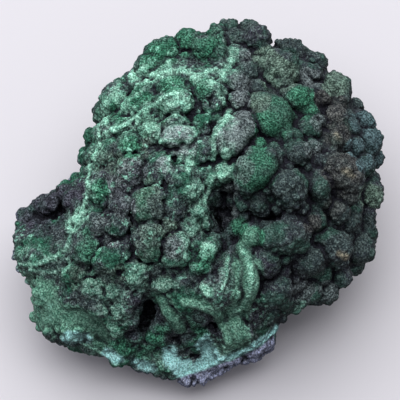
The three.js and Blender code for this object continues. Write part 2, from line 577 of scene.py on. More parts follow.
MASS_LOBES = table(
    Lobe,
    # the mossy shoulder
    (-11, 44, 4.6, GREEN), (-4, 46.5, 4, GREEN), (1.5, 45, 3.8, GREEN), (-15.5, 40, 3.4, GREEN),
    (-8, 34, 3.6, GREEN, 1.3, 0), (4.5, 43.5, 3), (1, 34, 3, GREEN), (3.5, 27.5, 3.4), (1.5, 21, 3),
    (4, 23.5, 2.6),
    # the crusts below it
    (-24, 30, 5.2), (-28.5, 26, 3.4), (-19, 33.5, 3.4), (-7, 29, 4.6, None, 1.25, 10, GRAINY),
    (-6.7, 19.5, 3.8, None, 1.5, 0, GRAINY), (-4, 15, 3.2, MAUVE, 1, 0, GRAINY),
    (-11, 10.5, 2.6, MAUVE, 1, 0, GRAINY), (-14, 19, 3.6), (-21, 16, 3.8, GREEN), (-26, 14, 3.4),
    (-32, 18.5, 2.6), (-34, 13, 2.4),
    # the crumbly middle
    (-20, 8, 5, MAUVE), (-25, 4, 3.8, MAUVE), (-13, 5.5, 3.8), (-6, 6, 4),
    (-29.5, 3, 3.4, GREEN, 1.5, 80, GRAINY), (-22, -2.5, 3.8, MAUVE), (-15.5, -2, 4.8), (-8.5, -3, 4.4),
    (-15, -12, 4.6, None, 1.5, 80), (-7.5, -14, 4.2, MAUVE), (-10, -8, 3.8, OLIVE), (-24, -8, 3.2),
    (-2, -3, 3), (1.8, -16, 3, GREEN, 1.4, 60, GRAINY), (0.4, -19.4, 2.8, GREEN, 1.3, 20, GRAINY),
    # the left wing
    (-29.5, -8, 3.2, MAUVE, 1, 0, GRAINY), (-26, -12, 2.4, MAUVE, 1, 0, GRAINY),
    (-33.3, -15.2, 4, GREEN, 1.15, 110, GRAINY), (-27.5, -18, 3.6), (-23.5, -16, 3.2),
    (-36, -21.5, 3.2, BROWN, 1.35, 15), (-19, -21, 2.8), (-53.6, -4.4, 1.5, GREEN),
    (-53.8, -7.4, 1.3, GREEN), (-50.4, -3.4, 1.4, GREEN), (-47.4, -1.8, 1.5, GREEN), (-44, -0.2, 1.6),
    (-40.4, 3, 1.8), (-37.4, 6.6, 1.9), (-53.4, -12.4, 1.3), (-55.6, -16.6, 1.5), (-54.6, -20.5, 1.2),
    (-52.4, -25, 1.3), (-50.4, -30, 1.3), (-50, -35, 1.4), (-45.4, -39, 1.4),
    # the swept folds
    (14.6, -22.5, 4.2, None, 2.4, 84, GRAINY), (10.5, -38, 4.4, None, 1.7, 110, GRAINY),
    (-8.6, -33.5, 3, None, 1.9, 119, GRAINY), (6.5, -24, 2.4, MAUVE, 1.9, 82, GRAINY),
    # the shelf over the rim
    (-31, -27.5, 3.4), (-25, -26.5, 3), (-24, -32, 3), (-31, -32.5, 2.6), (-22, -28, 2.6),
    (-25.5, -37.5, 2.2), (-10.5, -24.5, 2.4, OLIVE), (-12.5, -40, 2.8, GREEN), (-5, -25, 2.8),
    (3, -25.5, 3.2),
)

HOLLOWS = table(
    Pit,
    # the valley beside the dome
    (6, -1, 6, 2.4, 1.8, 80), (6.4, -8.5, 6, 2.6, 2.2, 95), (6.8, -15, 3.6, 2, 1.8, 110),
    (20, -5, 5, 1.4, 1, 0),
    # the trough of the wing
    (-45, -5, 8, 2.8, 0.8, 12),
    # the cavities over the rim
    (-15.2, -32, 5.8, 4.4, 6.5, 80), (2.2, -36.4, 5, 3, 6.5, -28), (2, -22, 2.6, 1.6, 2.6, 0),
    (-7, -40.5, 2.2, 1.7, 2.6, 60),
)

PITS = table(
    Pit,
    (-20.5, -38.5, 3.2, 1.5, 1, 20), (-7.7, 11.6, 1.6, 1, 1.2, 80), (1.6, 10.7, 3, 1, 1.5, 10),
    (-1.5, -10, 2.8, 0.8, 1), (-15.6, -18.2, 4, 0.9, 1.2, 5), (-25, -20.5, 3.6, 0.9, 1.1, -30),
    (-20.5, -6, 6, 0.9, 1.4, 75), (-11.6, -4, 6, 0.8, 1.1, 80), (-18, 13, 5, 0.9, 1.1, -20),
    (-28.5, -3.5, 4, 0.8, 1.1, 60), (-31, -22.8, 4, 0.8, 1.1, 15), (-49, -22.8, 3, 0.9, 1.4, -10),
    (-2.5, 31.5, 3, 0.9, 1.1, 60), (-9.5, 33, 4.5, 0.9, 1.1, 5), (3, 28.5, 4, 0.9, 1.1, 95),
    (4, -5, 4, 1.2, 1.5, 85), (-14, 14.5, 3, 0.8, 1, 30), (-26, 24.5, 3, 0.8, 0.9, 35),
    (-2, -46.4, 1.4, 0.8, 0.4),
)

RAISED_VEINS = table(
    Vein,
    # mint down the seam beside the dome
    (MINT, ((8, 38.5), (5.5, 36.5), (3.5, 35)), 2.4, 0.9, 0.2, 0.9),
    (MINT, ((8.6, 26.5), (8.8, 24.5), (6.5, 22.5)), 2.1, 0.95, 0.5),
    (MINT, ((6, 21.5), (4.2, 19), (4, 14), (4.2, 12)), 1.6, 0.7, 0.3),
    (MINT, ((8, 8.3), (6.4, 7.4)), 3, 1, 0.3, 0.4),
    (MINT, ((4.6, 8), (2.6, 5), (1.2, 1), (0.8, -3), (1.2, -7)), 3, 0.75, 0.3),
    # the upper band
    (MINT, ((-20, 37), (-17.5, 37.8), (-14, 37.2)), 3.6, 1, 0.4),
    (MINT, ((-14, 37.3), (-10, 38.4), (-6, 39), (-3.5, 38.3), (-1.5, 36.5)), 2.4, 0.9, 0.3, 0.9),
    (MINT, ((-1.2, 36.4), (1.5, 38), (4.5, 39.3)), 2, 0.8, 0.2, 0.9),
    # the crusted upper left
    (MINT, ((-25, 31.5), (-23.5, 28.5), (-21, 27)), 3.4, 0.7, 0.2, 1),
    (MINT, ((-30, 19.2), (-26.5, 20.6), (-23, 22), (-19.7, 24.3)), 2, 1, 0.8, 0.35),
    (MINT, ((-19.7, 24.3), (-16.5, 27), (-12.6, 29), (-10, 31), (-6, 32)), 1.3, 0.95, 0.7, 0.4),
    (MINT, ((-13, 19), (-12, 17.3)), 1.8, 0.8, 0.2, 0.8), (MINT, ((-3.4, 12), (-3, 9.5)), 2.6, 0.95, 0.3),
    (MINT, ((-9, 13), (-9.5, 9), (-7, 7)), 1, 0.6, 0.2),
    # the left vein and the bright patch
    (MINT, ((-30, 17), (-31.5, 13.5), (-33, 10)), 1.6, 0.9, 0.5, 0.4),
    (MINT, ((-33, 10), (-33.6, 6), (-33.5, 1.5), (-35, -2.5)), 1.4, 1, 0.8, 0.3),
    (MINT, ((-35.2, -3.5), (-36.6, -6), (-38.2, -7.6)), 4, 1, 0.5, 0.2),
    (MINT, ((-38, -9), (-40, -14), (-43.5, -17.3), (-48.5, -19.4), (-54, -19.6)), 1.2, 0.6, 0.3),
    (MINT, ((-38.6, -19), (-41, -22)), 0.8, 0.7, 0.3, 0.3),
    (MINT, ((-17.5, -19.8), (-16, -20)), 3, 0.7, 0.2, 0.9), (MINT, ((-4, -13), (-4.6, -17)), 1.2, 0.7, 0.2),
    (MINT, ((1, -13.6), (3.8, -13.4)), 2.8, 0.75, 0.2, 0.8),
    (MINT, ((1.2, -26.2), (2.6, -27.8)), 2.4, 0.9, 0.3),
    # the swept tail under the dome
    (SILKY, ((-4.5, -30.2), (1, -31.4), (5, -33.6), (7.3, -37.6), (9, -43)), 2.8, 1, 0.9, 0.3),
    (SILKY, ((-11, -29), (-9, -33), (-6, -37.8)), 4.2, 1, 0.5, 0.3),
    (SILKY, ((15.5, -10.5), (13, -14.5), (15, -19.7), (15.7, -25), (13.5, -31)), 4, 0.9, 0.4, 0.4),
    (MINT, ((12.8, -15.4), (15, -19.7), (15.7, -24.5)), 1.3, 0.85, 0.7, 0.5),
    (MINT, ((15.7, -24.5), (14.4, -29.3), (11.7, -33)), 1.2, 0.75, 0.5, 0.5),
    (MINT, ((8, -17.5), (8.1, -22.9), (6.7, -26.6)), 1, 0.85, 0.6, 0.5),
    (MINT, ((-0.5, -30.6), (3.5, -32), (6.2, -34.5)), 0.8, 0.6, 0.9, 0.4),
    (GREEN, ((-3, -34), (-0.8, -36.5), (0.6, -41)), 3.6, 0.9, 0.3, 0.8),
    (GREEN, ((15, -10), (13, -12.5)), 2.4, 0.9, 0.5), (GREEN, ((-13.5, -38), (-9.5, -38.5)), 3.2, 0.8, 0.3),
    (GREEN, ((-34, -9.5), (-33.5, -12.5)), 2.4, 1, 0.4),
    # the broken lower left face
    (MINT, ((-50.5, -21.3), (-43, -21.6)), 1.6, 0.35, 0.3),
    # the turquoise rim
    (TURQUOISE, ((-27.5, -46), (-24.5, -47.6)), 3, 1, 0.3, 0.5),
    (TURQUOISE, ((-20, -48.5), (-14.5, -50.5)), 2, 0.85, 0.2),
    (MINT, ((-36, -42.5), (-29, -46), (-24.5, -49)), 1, 0.7, 0.2, 0.7),
    (TURQUOISE, ((1, -50), (8, -47.2), (15.5, -44.4), (19.5, -41.6), (23, -38.4)), 1.7, 1, 0.4, 0.3),
    (MINT, ((29, -33.5), (30.5, -31.4)), 1.8, 0.6, 0.2),
)

# veins and patches that lie flat, by mineral: path, width, strength and raggedness
STAINS = {
    MINT: (
        (((10, 45), (9.5, 42), (8, 38.5)), 3, 0.75, 1),
        (((7, 37), (6.5, 33), (7.3, 30.5), (8.6, 27)), 2.6, 0.55, 1),
        (((8.2, 14), (8.2, 11), (7.8, 8)), 4.4, 0.85, 0.8), (((-1, 3), (-1.5, -4), (-3, -10)), 5, 0.5, 1),
        (((-9.2, 39), (-9, 43.5)), 1.6, 0.75, 0.9), (((-29, 23), (-28.5, 28), (-25, 33)), 2.6, 0.7, 1),
        (((-20, 31), (-17, 33.5)), 1.6, 0.45, 1), (((-30, 20), (-31, 22), (-30, 25)), 1.4, 0.7),
        (((-9.5, 29.5), (-6.5, 30), (-3.5, 28.5)), 4, 0.8, 0.9),
        (((-12, 25.5), (-9.5, 26.5), (-6, 25.5)), 2, 0.65, 0.9),
        (((-16, 21.5), (-12.5, 22)), 2.6, 0.65, 0.9),
        (((-12, 20), (-11, 22), (-6.5, 22.8), (-2.2, 21.8), (-1.2, 19.5)), 0.8, 0.6),
        (((-11, 17.8), (-6, 17.4), (-2.4, 17.8)), 0.8, 0.6), (((-54, -16.5), (-51.5, -14.5)), 2.2, 0.45, 1),
        (((-12, -19), (-8.5, -19.6), (-5, -19)), 1.6, 0.45),
        (((10.8, -26.2), (11.1, -27.4)), 1.6, 0.95, 0.4),
        (((-55.5, -19), (-53, -25), (-51, -34)), 1.8, 0.45, 0.5),
        (((-27, -33), (-24, -35), (-26, -38)), 5, 0.5, 1),
        (((-34, -24), (-29, -27), (-25, -29)), 5, 0.3, 1), (((-20, -24), (-14, -26), (-9, -25)), 4, 0.4, 1),
        (((4.5, -44.5), (8.5, -46)), 3, 0.8, 0.8), (((-14, -46.5), (-12, -48.5)), 2.4, 0.5, 1),
    ),
    GREEN: (
        (((-28, 26), (-24, 29), (-19, 31)), 8, 0.75, 1), (((-9, 33.5), (-4, 34.5), (0, 33)), 4.5, 0.7, 1),
        (((-22, 18), (-17, 21), (-14, 24)), 6, 0.6, 1), (((-8.8, -29.5), (-8, -32.5)), 1.3, 1),
        (((-47, -34), (-40, -36.5), (-34, -37.5)), 4.6, 0.65, 0.9),
        (((-30, -38.6), (-28.6, -38.2)), 1.8, 1), (((-24, -43.5), (-17, -45.5), (-12, -45)), 4, 0.8, 1),
        (((-31, -43), (-27, -43)), 3, 0.8, 1),
    ),
    OLIVE: (
        (((-30, 12), (-24, 10), (-17, 16), (-13, 22)), 6, 0.6, 1),
        (((-15, 2), (-15, -10), (-15, -16)), 8, 0.5, 1), (((17, 30), (19, 28)), 5, 0.6, 0.9),
        (((-36, -24), (-30, -24), (-24, -22)), 5, 0.6, 1),
    ),
    FROST: (
        (((-9.5, 20.2), (-4, 20.2)), 4.8, 1, 0.3), (((-8.6, 15.6), (-3.4, 15.6)), 3, 0.85),
        (((-11, 11.5), (-10.4, 9.8)), 3.2, 0.85, 0.4), (((9.5, 20), (11, 15.5)), 6.5, 0.6, 0.9),
    ),
    SILKY: (
        (((13, -17), (13.5, -24), (13, -29), (11, -35)), 6.5, 0.95, 0.2),
        (((17, -19), (17.5, -25), (15.5, -30)), 2.6, 0.8, 0.4), (((10.5, -34), (11.5, -43)), 7, 0.9, 0.3),
        (((-51, -25), (-49.5, -31), (-48, -37)), 6, 1, 0.2),
        (((-47, -27), (-45, -33), (-41, -37)), 8, 1, 0.5),
        (((-38, -34.5), (-33, -36), (-29, -40)), 6, 0.9, 0.4),
    ),
    MAUVE: (
        (((12.4, 13), (13.2, 8)), 5, 0.75, 0.9),
    ),
    TURQUOISE: (
        (((-39.5, -41.2), (-34.5, -41.2)), 3.4, 0.75, 0.8), (((-9.6, -46.4), (-8, -48.8), (-5, -50)), 5, 1),
        (((-6, -50.4), (-2, -50.8), (1, -49.2)), 3, 1),
        (((1.4, -43.6), (2.4, -46), (4, -47.6)), 4.4, 0.9, 0.7),
    ),
    # purple-black laid mostly in the pits, the valley beside the dome and the trough of the wing: partly the
    # stone's own colour, partly painted shade
    DUSK: (
        (((-52, -4), (-45, -2), (-38, 0)), 9, 1), (((-17, -30), (-14, -35)), 6, 0.9, 0.7),
        (((-1, -35), (2, -36), (5, -38.5)), 3.6, 0.9, 0.5),
        (((-50, -9), (-43, -9), (-39, -12)), 5, 0.75, 1),
        (((-22, -1), (-23.5, 1), (-18, 8.5)), 4.5, 0.6, 1), (((-19, -39.5), (-13, -35)), 5, 0.85, 0.8),
        (((-9, -41), (-3, -41)), 3, 0.7, 0.8), (((4, 1), (6, -8), (8, -13)), 7, 0.85, 0.5),
        (((15, -5), (24, -5)), 3, 0.8, 0.5),
    ),
    TAN: (
        (((41.6, -15.6), (43.4, -17)), 1.6, 0.8), (((43.5, 8.8), (45.5, 7.4)), 1.6, 0.45, 0.8),
        (((40.6, 19.4), (41.6, 18.2)), 1.4, 0.45, 0.8),
    ),
}

VEINS = RAISED_VEINS + tuple(
    Vein(mineral, path, width, strength, 0.0, *ragged)
    for mineral, patches in STAINS.items()
    for path, width, strength, *ragged in patches
)


# ---- The stone


@dataclass(frozen=True)
class Crumbs:
    """A crop of small grains strewn over the skin, with sizes in mm."""

    spacing: float
    smallest: float
    largest: float
    sink: float  # how deep a grain's middle lies, as a share of its radius


@dataclass
class Stone:
    """The whole specimen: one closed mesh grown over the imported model's shape.

    Lengths are in mm. Sinks, reaches and nubs are shares of a lobe's radius.
    """

    cell: float = 0.42  # cell size of the distance field
    softening: float = 1.4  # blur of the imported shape
    dome_thinning: float = 2.3  # how far the dome's body is drawn in before its lobes grow
    mass_thinning: float = 0.8  # the same for the crumbly mass
    waviness: float = 2.0  # height of the broad waves of the body
    rim_level: float = -8.0  # height w of the rim at the middle of the show face
    rim_slope: float = -0.25  # how far it rises for each mm up the face
    rim_swell: float = 1.0  # how far the rim is let out above and below, since softening draws it in
    side_draw: float = 0.6  # how far it is drawn in at the left and the right
    corner_draw: float = 1.2  # how far it is drawn in more at the lower right
    slab_swell: float = 0.6  # how far it is let out more at the broken lower left
    lip_swell: float = 0.6  # how far it is let out more over the bare rock
    foot_swell: float = 2.2  # how far the foot is let out before it is worn flat
    lobe_sink: float = 0.3  # how deep a dome lobe's middle lies
    mass_sink: float = 0.44  # the same for the lobes of the mass
    side_sink: float = 0.5  # the same for the lobes of the hidden sides
    outer_sink: float = 0.2  # how much deeper those beside the rim lie
    outer_reach: float = 0.25  # how far out of the body a named lobe's middle may lie
    stand_out: float = 1.1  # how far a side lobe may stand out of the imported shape
    lobe_gap: float = 0.78  # closest that small lobes grow, as a share of their radii together
    filler: tuple[float, float] = (1.6, 3.2)  # radii of the small lobes between the dome's named ones
    side_lobe: tuple[float, float] = (2.8, 5.0)  # radii of the lobes on the hidden sides
    nub_share: float = 0.24  # radius of a knobbly lobe's nubs
    nub_limits: tuple[float, float] = (0.8, 2.1)  # least and greatest radius of a nub
    nub_spread: tuple[float, float] = (0.7, 1.15)  # how much the nubs of one lobe vary
    smooth_radius: float = 1.9  # lobes smaller than this have no nubs
    mass_crumbs: Crumbs = Crumbs(1.25, 0.5, 1.65, 0.25)
    rock_crumbs: Crumbs = Crumbs(1.9, 0.5, 1.6, 0.65)
    grain_size: float = 1.15  # spacing of the velvety grains
    grain_relief: float = 0.34  # their height
    lump_relief: float = 0.5  # height of the soft lumps between them
    band_relief: float = 0.16  # height of the bands of the silky folds
    band_width: float = 2.1  # their spacing
    painted_light_way: Colour = (-0.15, 0.5, 0.85)  # the way that painted light falls from: faces turned this way are painted lighter, faces turned away darker
    rng: np.random.Generator = field(default_factory=lambda: np.random.default_rng(SEED))
    noise: Noise = field(default_factory=lambda: Noise(SEED))
    packed: Field = field(init=False)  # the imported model's own shape

    # the lower edge of the crust over the bare rock, and the seam between the mass and the dome
    LIP_U = (-60, -14, -4, 1, 6, 13, 18, 22, 26)
    LIP_V = (-70, -56, -52.6, -51.2, -49.2, -46.6, -44.0, -40.6, -60)
    SEAM_V = (-60, -35, -24, -15, 0, 20, 52)
    SEAM_U = (26, 21, 17.5, 9.5, 6.5, 8.5, 7.0)

    def dome_share(self, u: np.ndarray, v: np.ndarray) -> np.ndarray:
        """How far a place belongs to the big dome, from 0 to 1."""
        seam = np.interp(v, self.SEAM_V, self.SEAM_U)
        return smoothstep(-1.5, 1.5, u - seam)

    def rim(self, v: np.ndarray) -> np.ndarray:
        """Height w of the rim between the show face and the underside."""
        return self.rim_level + self.rim_slope * v

    def rock_share(self, points: np.ndarray) -> np.ndarray:
        """How far a place belongs to the bare rock under the rim.

        Args:
            points: Rows of places in face millimetres.

        Returns:
            One value from 0 to 1 for each row.
        """
        u, v, w = points.T
        wander = 1.2 * (self.noise.at(points, 5.0) - 0.5)
        below = smoothstep(1.0, -1.5, w - self.rim(v) - 1.0 - wander)
        side = smoothstep(6.0, -4.0, u * 0.75 + v + 18.0)
        lip = np.interp(u, self.LIP_U, self.LIP_V)
        past = smoothstep(0.5, -0.5, v - lip + wander)
        return np.maximum(below * side, past)

    # -- growing the shape

    def grow(self) -> tuple[Field, np.ndarray]:
        """Grow the whole shape.

        Returns:
            The distance field, and the height w of the stone's skin over each column.
        """
        shape = self.body()
        tops = shape.tops()
        self.grow_lobes(shape, tops)
        self.swell_sides(shape)
        self.fill_gaps(shape, tops)
        self.open_pits(shape, PITS, shape.tops())
        self.strew(shape, self.mass_crumbs, self.on_mass)
        self.strew(shape, self.rock_crumbs, self.on_rock)
        self.raise_veins(shape, shape.tops())
        self.break_rim(shape)
        self.cut_floor(shape)
        return shape, shape.tops()

    def body(self) -> Field:
        """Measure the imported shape, soften it, and draw it in where lobes will grow.

        Returns:
            The field of the stone's bare body, with its hollows.
        """
        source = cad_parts[NODE].data
        source.calc_loop_triangles()
        points = np.empty(len(source.vertices) * 3)
        source.vertices.foreach_get("co", points)
        triangles = np.empty(len(source.loop_triangles) * 3, np.int32)
        source.loop_triangles.foreach_get("vertices", triangles)
        points = FACE.to_face(points.reshape(-1, 3))
        shape = Field.from_mesh(points, triangles.reshape(-1, 3), self.cell, room=6.0)
        self.packed = shape.copy()
        shape.values = shape.blurred(shape.values, self.softening)
        cells, places = shape.near_skin(3.9)
        u, v, w = places.T
        thinning = self.mass_thinning + (self.dome_thinning - self.mass_thinning) * self.dome_share(u, v)
        inland = smoothstep(1.0, 11.0, np.abs(w - self.rim(v)))
        upright = v**2 / np.maximum(u**2 + v**2, 1.0)
        corner = smoothstep(20.0, 45.0, u) * smoothstep(-5.0, -30.0, v)
        slab = smoothstep(-25.0, -40.0, u) * smoothstep(-15.0, -30.0, v)
        lip = smoothstep(-16.0, -4.0, u) * smoothstep(34.0, 20.0, u) * smoothstep(-36.0, -44.0, v)
        swell = self.rim_swell * upright - self.side_draw * (1.0 - upright)
        swell += self.slab_swell * slab + self.lip_swell * lip - self.corner_draw * corner
        draw = thinning * inland - swell * (1.0 - inland)
        draw -= self.foot_swell * smoothstep(3.0, 0.5, FACE.height(v, w))
        draw += self.waviness * (self.noise.layered(places, 9.0) - 0.5)
        shape.draw_in(cells, draw.astype(np.float32))
        for hollow in HOLLOWS:
            self.open_pits(shape, (hollow,), shape.tops())
        return shape

    def rooted(self, base: Field, centre: np.ndarray, depth: float) -> np.ndarray:
        """Draw a lobe's middle in until it lies deep enough under a skin.

        Args:
            base: The shape whose skin it is.
            centre: Where the lobe would sit, in face millimetres.
            depth: How deep it must lie in mm, or how far out it may lie if negative.

        Returns:
            Its middle.
        """
        for _ in range(4):
            gap = float(base.sample(base.values, centre[None, :])[0]) + depth
            if gap <= 0.0:
                break
            centre = centre - min(gap, 2.5) * base.slope(centre[None, :])[0]
        return centre

    def grow_lobes(self, shape: Field, tops: np.ndarray) -> None:
        """Grow every named lobe of the show face.

        Args:
            shape: The stone so far.
            tops: Height w of its skin over each column.
        """
        base = shape.copy()
        for number, lobe in enumerate(DOME_LOBES + MASS_LOBES):
            on_dome = number < len(DOME_LOBES)
            depth = (self.lobe_sink if on_dome else self.mass_sink) * lobe.radius
            top = max(shape.top_at(tops, lobe.u, lobe.v), self.rim(lobe.v) + depth)
            centre = np.array([lobe.u, lobe.v, top - depth])
            nubs = on_dome and lobe.habit is Habit.KNOBBLY and lobe.radius > self.smooth_radius
            self.grow_lobe(shape, self.rooted(base, centre, -self.outer_reach * lobe.radius), lobe, nubs)

    def grow_lobe(self, shape: Field, centre: np.ndarray, lobe: Lobe, knobbly: bool) -> None:
        """Grow one lobe of the show face.

        Args:
            shape: The stone so far.
            centre: The lobe's middle in face millimetres.
            lobe: The lobe.
            knobbly: Whether nubs cover it, in a spiral from its top down.
        """
        turn = math.radians(lobe.turn)
        core = lobe.radius * (0.93 if knobbly else 1.0)
        long = math.sqrt(lobe.long)
        radii = np.array([core * long, core / long, core])
        shape.join_ball(centre, radii, LOBE_BLEND, turn)
        if not knobbly:
            return
        nub = min(self.nub_limits[1], max(self.nub_limits[0], self.nub_share * lobe.radius))
        count = int(2.6 * (lobe.radius / nub) ** 2)
        phase = self.rng.uniform(0.0, 2.0 * math.pi)
        for i in range(count):
            out = 1.0 - 1.45 * (i + 0.5) / count
            ring = math.sqrt(max(0.0, 1.0 - out * out))
            bearing = phase + GOLDEN_ANGLE * i
            way = np.array([ring * math.cos(bearing), ring * math.sin(bearing), out])
            way = way + self.rng.normal(0.0, 0.07, 3)
            size = nub * self.rng.uniform(*self.nub_spread)
            c, s = math.cos(turn), math.sin(turn)
            spot = way * radii * (1.06 - NUB_SINK * size / lobe.radius)
            spot = np.array([spot[0] * c - spot[1] * s, spot[0] * s + spot[1] * c, spot[2]])
            shape.join_ball(centre + spot, size, NUB_BLEND)

    def fill_gaps(self, shape: Field, tops: np.ndarray) -> None:
        """Fill the gaps between the dome's named lobes with small ones.

        Args:
            shape: The stone so far.
            tops: Height w of its bare body over each column.
        """
        taken = [(lobe.u, lobe.v, lobe.radius) for lobe in DOME_LOBES]
        for _ in range(5000):
            u, v = self.rng.uniform(6, 56), self.rng.uniform(-36, 54)
            top = shape.top_at(tops, u, v)
            if top <= self.rim(v) + 2.0 or self.dome_share(np.array(u), np.array(v)) < 0.6:
                continue
            radius = self.rng.uniform(*self.filler)
            if any(math.hypot(u - a, v - b) < self.lobe_gap * (radius + r) for a, b, r in taken):
                continue
            taken.append((u, v, radius))
            centre = np.array([u, v, top - 0.15 * radius])
            self.grow_lobe(shape, centre, Lobe(u, v, radius), radius > self.smooth_radius)

    def swell_sides(self, shape: Field) -> None:
        """Grow round lobes over the sides and the back that the show face hides.

        Args:
            shape: The stone so far.
        """
        _, places = shape.near_skin(0.5 * shape.cell)
        ways = shape.slope(places)
        height = FACE.height(places[:, 1], places[:, 2])
        free = (height > 3.0) & (ways[:, 2] < 0.45) & (self.rock_share(places) < 0.3)
        places, ways = places[free], ways[free]
        kept = np.empty((0, 4))
        for number in self.rng.permutation(len(places))[:9000]:
            place, way = places[number], ways[number]
            bulk = smoothstep(-38.0, -5.0, 0.75 * place[0] + 0.65 * place[1])
            radius = self.rng.uniform(*self.side_lobe) * (0.4 + 0.6 * bulk)
            outer = 1.0 - smoothstep(4.0, 12.0, abs(place[2] - self.rim(place[1])))
            sink = self.side_sink + self.outer_sink * outer
            gaps = np.linalg.norm(kept[:, :3] - place, axis=1)
            if np.any(gaps < self.lobe_gap * (radius + kept[:, 3])):
                continue
            kept = np.vstack([kept, [*place, radius]])
            centre = self.rooted(self.packed, place - sink * radius * way, radius - self.stand_out)
            self.grow_side_lobe(shape, centre, way, radius)

    def grow_side_lobe(self, shape: Field, centre: np.ndarray, way: np.ndarray, radius: float) -> None:
        """Grow one knobbly lobe of the hidden sides.

        Args:
            shape: The stone so far.
            centre: The lobe's middle in face millimetres.
            way: The way it faces, which its nubs cover.
            radius: Its radius in mm.
        """
        shape.join_ball(centre, 0.94 * radius, LOBE_BLEND)
        nub = max(self.nub_limits[0], self.nub_share * radius)
        for _ in range(int(2.8 * (radius / nub) ** 2)):
            spot = self.rng.normal(0.0, 1.0, 3)
            spot /= np.linalg.norm(spot)
            if spot @ way < -0.1:
                spot = -spot
            size = nub * self.rng.uniform(*self.nub_spread)
            shape.join_ball(centre + spot * (radius - NUB_SINK * size), size, NUB_BLEND)

    def on_mass(self, places: np.ndarray, ways: np.ndarray) -> np.ndarray:
        """Which places carry the mass's crumbs: the show face left of the dome, but for its smooth parts.

        Args:
            places: Rows of places in face millimetres.
            ways: Their outward directions.

        Returns:
            True or false for each row.
        """
        u, v, w = places.T
        mass = (self.dome_share(u, v) < 0.5) & (w > self.rim(v) - 2.0) & (ways[:, 2] > -0.2)
        return mass & (smooth_share(u, v) < 0.35)

    def on_rock(self, places: np.ndarray, ways: np.ndarray) -> np.ndarray:
        """Which places carry the rock's coarse crumbs, whichever way they face."""
        v, w = places[:, 1], places[:, 2]
        return (self.rock_share(places) > 0.5) & (FACE.height(v, w) > 1.0) & (w < self.rim(v) - 5.0)

    def strew(
        self, shape: Field, crumbs: Crumbs, where: Callable[[np.ndarray, np.ndarray], np.ndarray]
    ) -> None:
        """Strew small grains over part of the skin, one to a pocket.

        Args:
            shape: The stone so far.
            crumbs: Their spacing and sizes.
            where: Tells from places and outward ways which of them carry grains.
        """
        _, places = shape.near_skin(0.5 * shape.cell)
        ways = shape.slope(places)
        chosen = where(places, ways)
        places, ways = places[chosen], ways[chosen]
        full = set()
        for number in self.rng.permutation(len(places)):
            place = places[number]
            pocket = tuple(np.floor(place / crumbs.spacing).astype(int))
            if pocket in full:
                continue
            full.add(pocket)
            clump = float(self.noise.at(place[None, :], 4.0)[0])
            size = crumbs.smallest + (crumbs.largest - crumbs.smallest) * self.rng.random() * clump * 1.6
            shape.join_ball(place - crumbs.sink * size * ways[number], size, 0.18)

    def raise_veins(self, shape: Field, tops: np.ndarray) -> None:
        """Raise the veins that stand proud of the skin, and the folds evenly over its dents.

        Args:
            shape: The stone so far.
            tops: Height w of its skin over each column.
        """
        even = smooth_heights(tops, round(2.2 / shape.cell))
        for vein in RAISED_VEINS:
            folded = vein.mineral is SILKY
            step = (0.15 if folded else 0.45) * vein.width
            jitter = (0.03 if folded else 0.12) * vein.width
            for u, v in along(vein.path, step):
                u, v = u + self.rng.normal(0, jitter), v + self.rng.normal(0, jitter)
                radius = 0.5 * vein.width * (1.0 if folded else self.rng.uniform(0.75, 1.1))
                top = shape.top_at(even if folded else tops, u, v)
                shape.join_ball(np.array([u, v, top + vein.relief - radius]), radius, 0.8 if folded else 0.4)

    def open_pits(self, shape: Field, pits: tuple[Pit, ...], tops: np.ndarray) -> None:
        """Open pits of the show face, each as a run of ragged bites.

        Args:
            shape: The stone so far.
            pits: The pits.
            tops: Height w of its skin over each column.
        """
        for pit in pits:
            top = shape.top_at(tops, pit.u, pit.v)
            turn = math.radians(pit.turn)
            way = np.array([math.cos(turn), math.sin(turn), 0.0])
            side = np.array([-way[1], way[0], 0.0])
            bites = max(5, round(2.6 * pit.half_length / pit.half_width) + 3)
            for i in range(bites):
                run = (2.0 * (i + 0.5) / bites - 1.0) * 0.8 * pit.half_length + self.rng.normal(0.0, 0.3)
                sway = self.rng.normal(0.0, 0.35 * pit.half_width)
                depth = pit.depth * self.rng.uniform(0.25, 0.8)
                spot = np.array([pit.u, pit.v, top - depth]) + run * way + sway * side
                radii = pit.half_width * self.rng.uniform(0.65, 1.15) * np.array([1.0, 1.0, 1.6])
                shape.join_ball(spot, radii, 0.5, self.rng.uniform(0.0, math.pi), side=-1)

    def break_rim(self, shape: Field) -> None:
        """Draw the bare rock in under the rim and break it into rough steps.

        Args:
            shape: The stone so far.
        """
        cells, places = shape.near_skin(3.0)
        rough = 1.6 * self.noise.layered(places, 6.0) + 1.2 * np.abs(self.noise.at(places, 2.4) - 0.5)
        under = smoothstep(0.0, -4.0, places[:, 2] - self.rim(places[:, 1]))
        shape.draw_in(cells, self.rock_share(places) * (0.9 * under + rough - 0.8))

    def cut_floor(self, shape: Field) -> None:
        """Wear the underside flat where the stone rests.

        Args:
            shape: The stone so far.
        """
        v = shape.low[1] + shape.cell * np.arange(shape.values.shape[1])
        w = shape.low[2] + shape.cell * np.arange(shape.values.shape[2])
        depth = -FACE.height(v[:, None], w[None, :]).astype(np.float32)
        shape.values = np.maximum(shape.values, depth[None, :, :])

    # -- meshing

    def build(self) -> bpy.types.Object:
        """Grow, mesh and mask the stone.

        Returns:
            The stone, in the frame's metres.
        """
        shape, tops = self.grow()
        points, quads = largest_piece(*shape.to_quads())
        ways = shape.slope(points)
        bumps = self.bumps(points)[:, None]
        mesh = bpy.data.meshes.new("malachite_stone")
        mesh.from_pydata(FACE.to_frame(points + ways * bumps), [], quads.tolist())
        mesh.polygons.foreach_set("use_smooth", np.ones(len(mesh.polygons), bool))
        self.paint(mesh, shape, tops, points, ways)
        lay_out(mesh, "OFBake")
        mesh.update()
        return placed("malachite_stone", mesh)

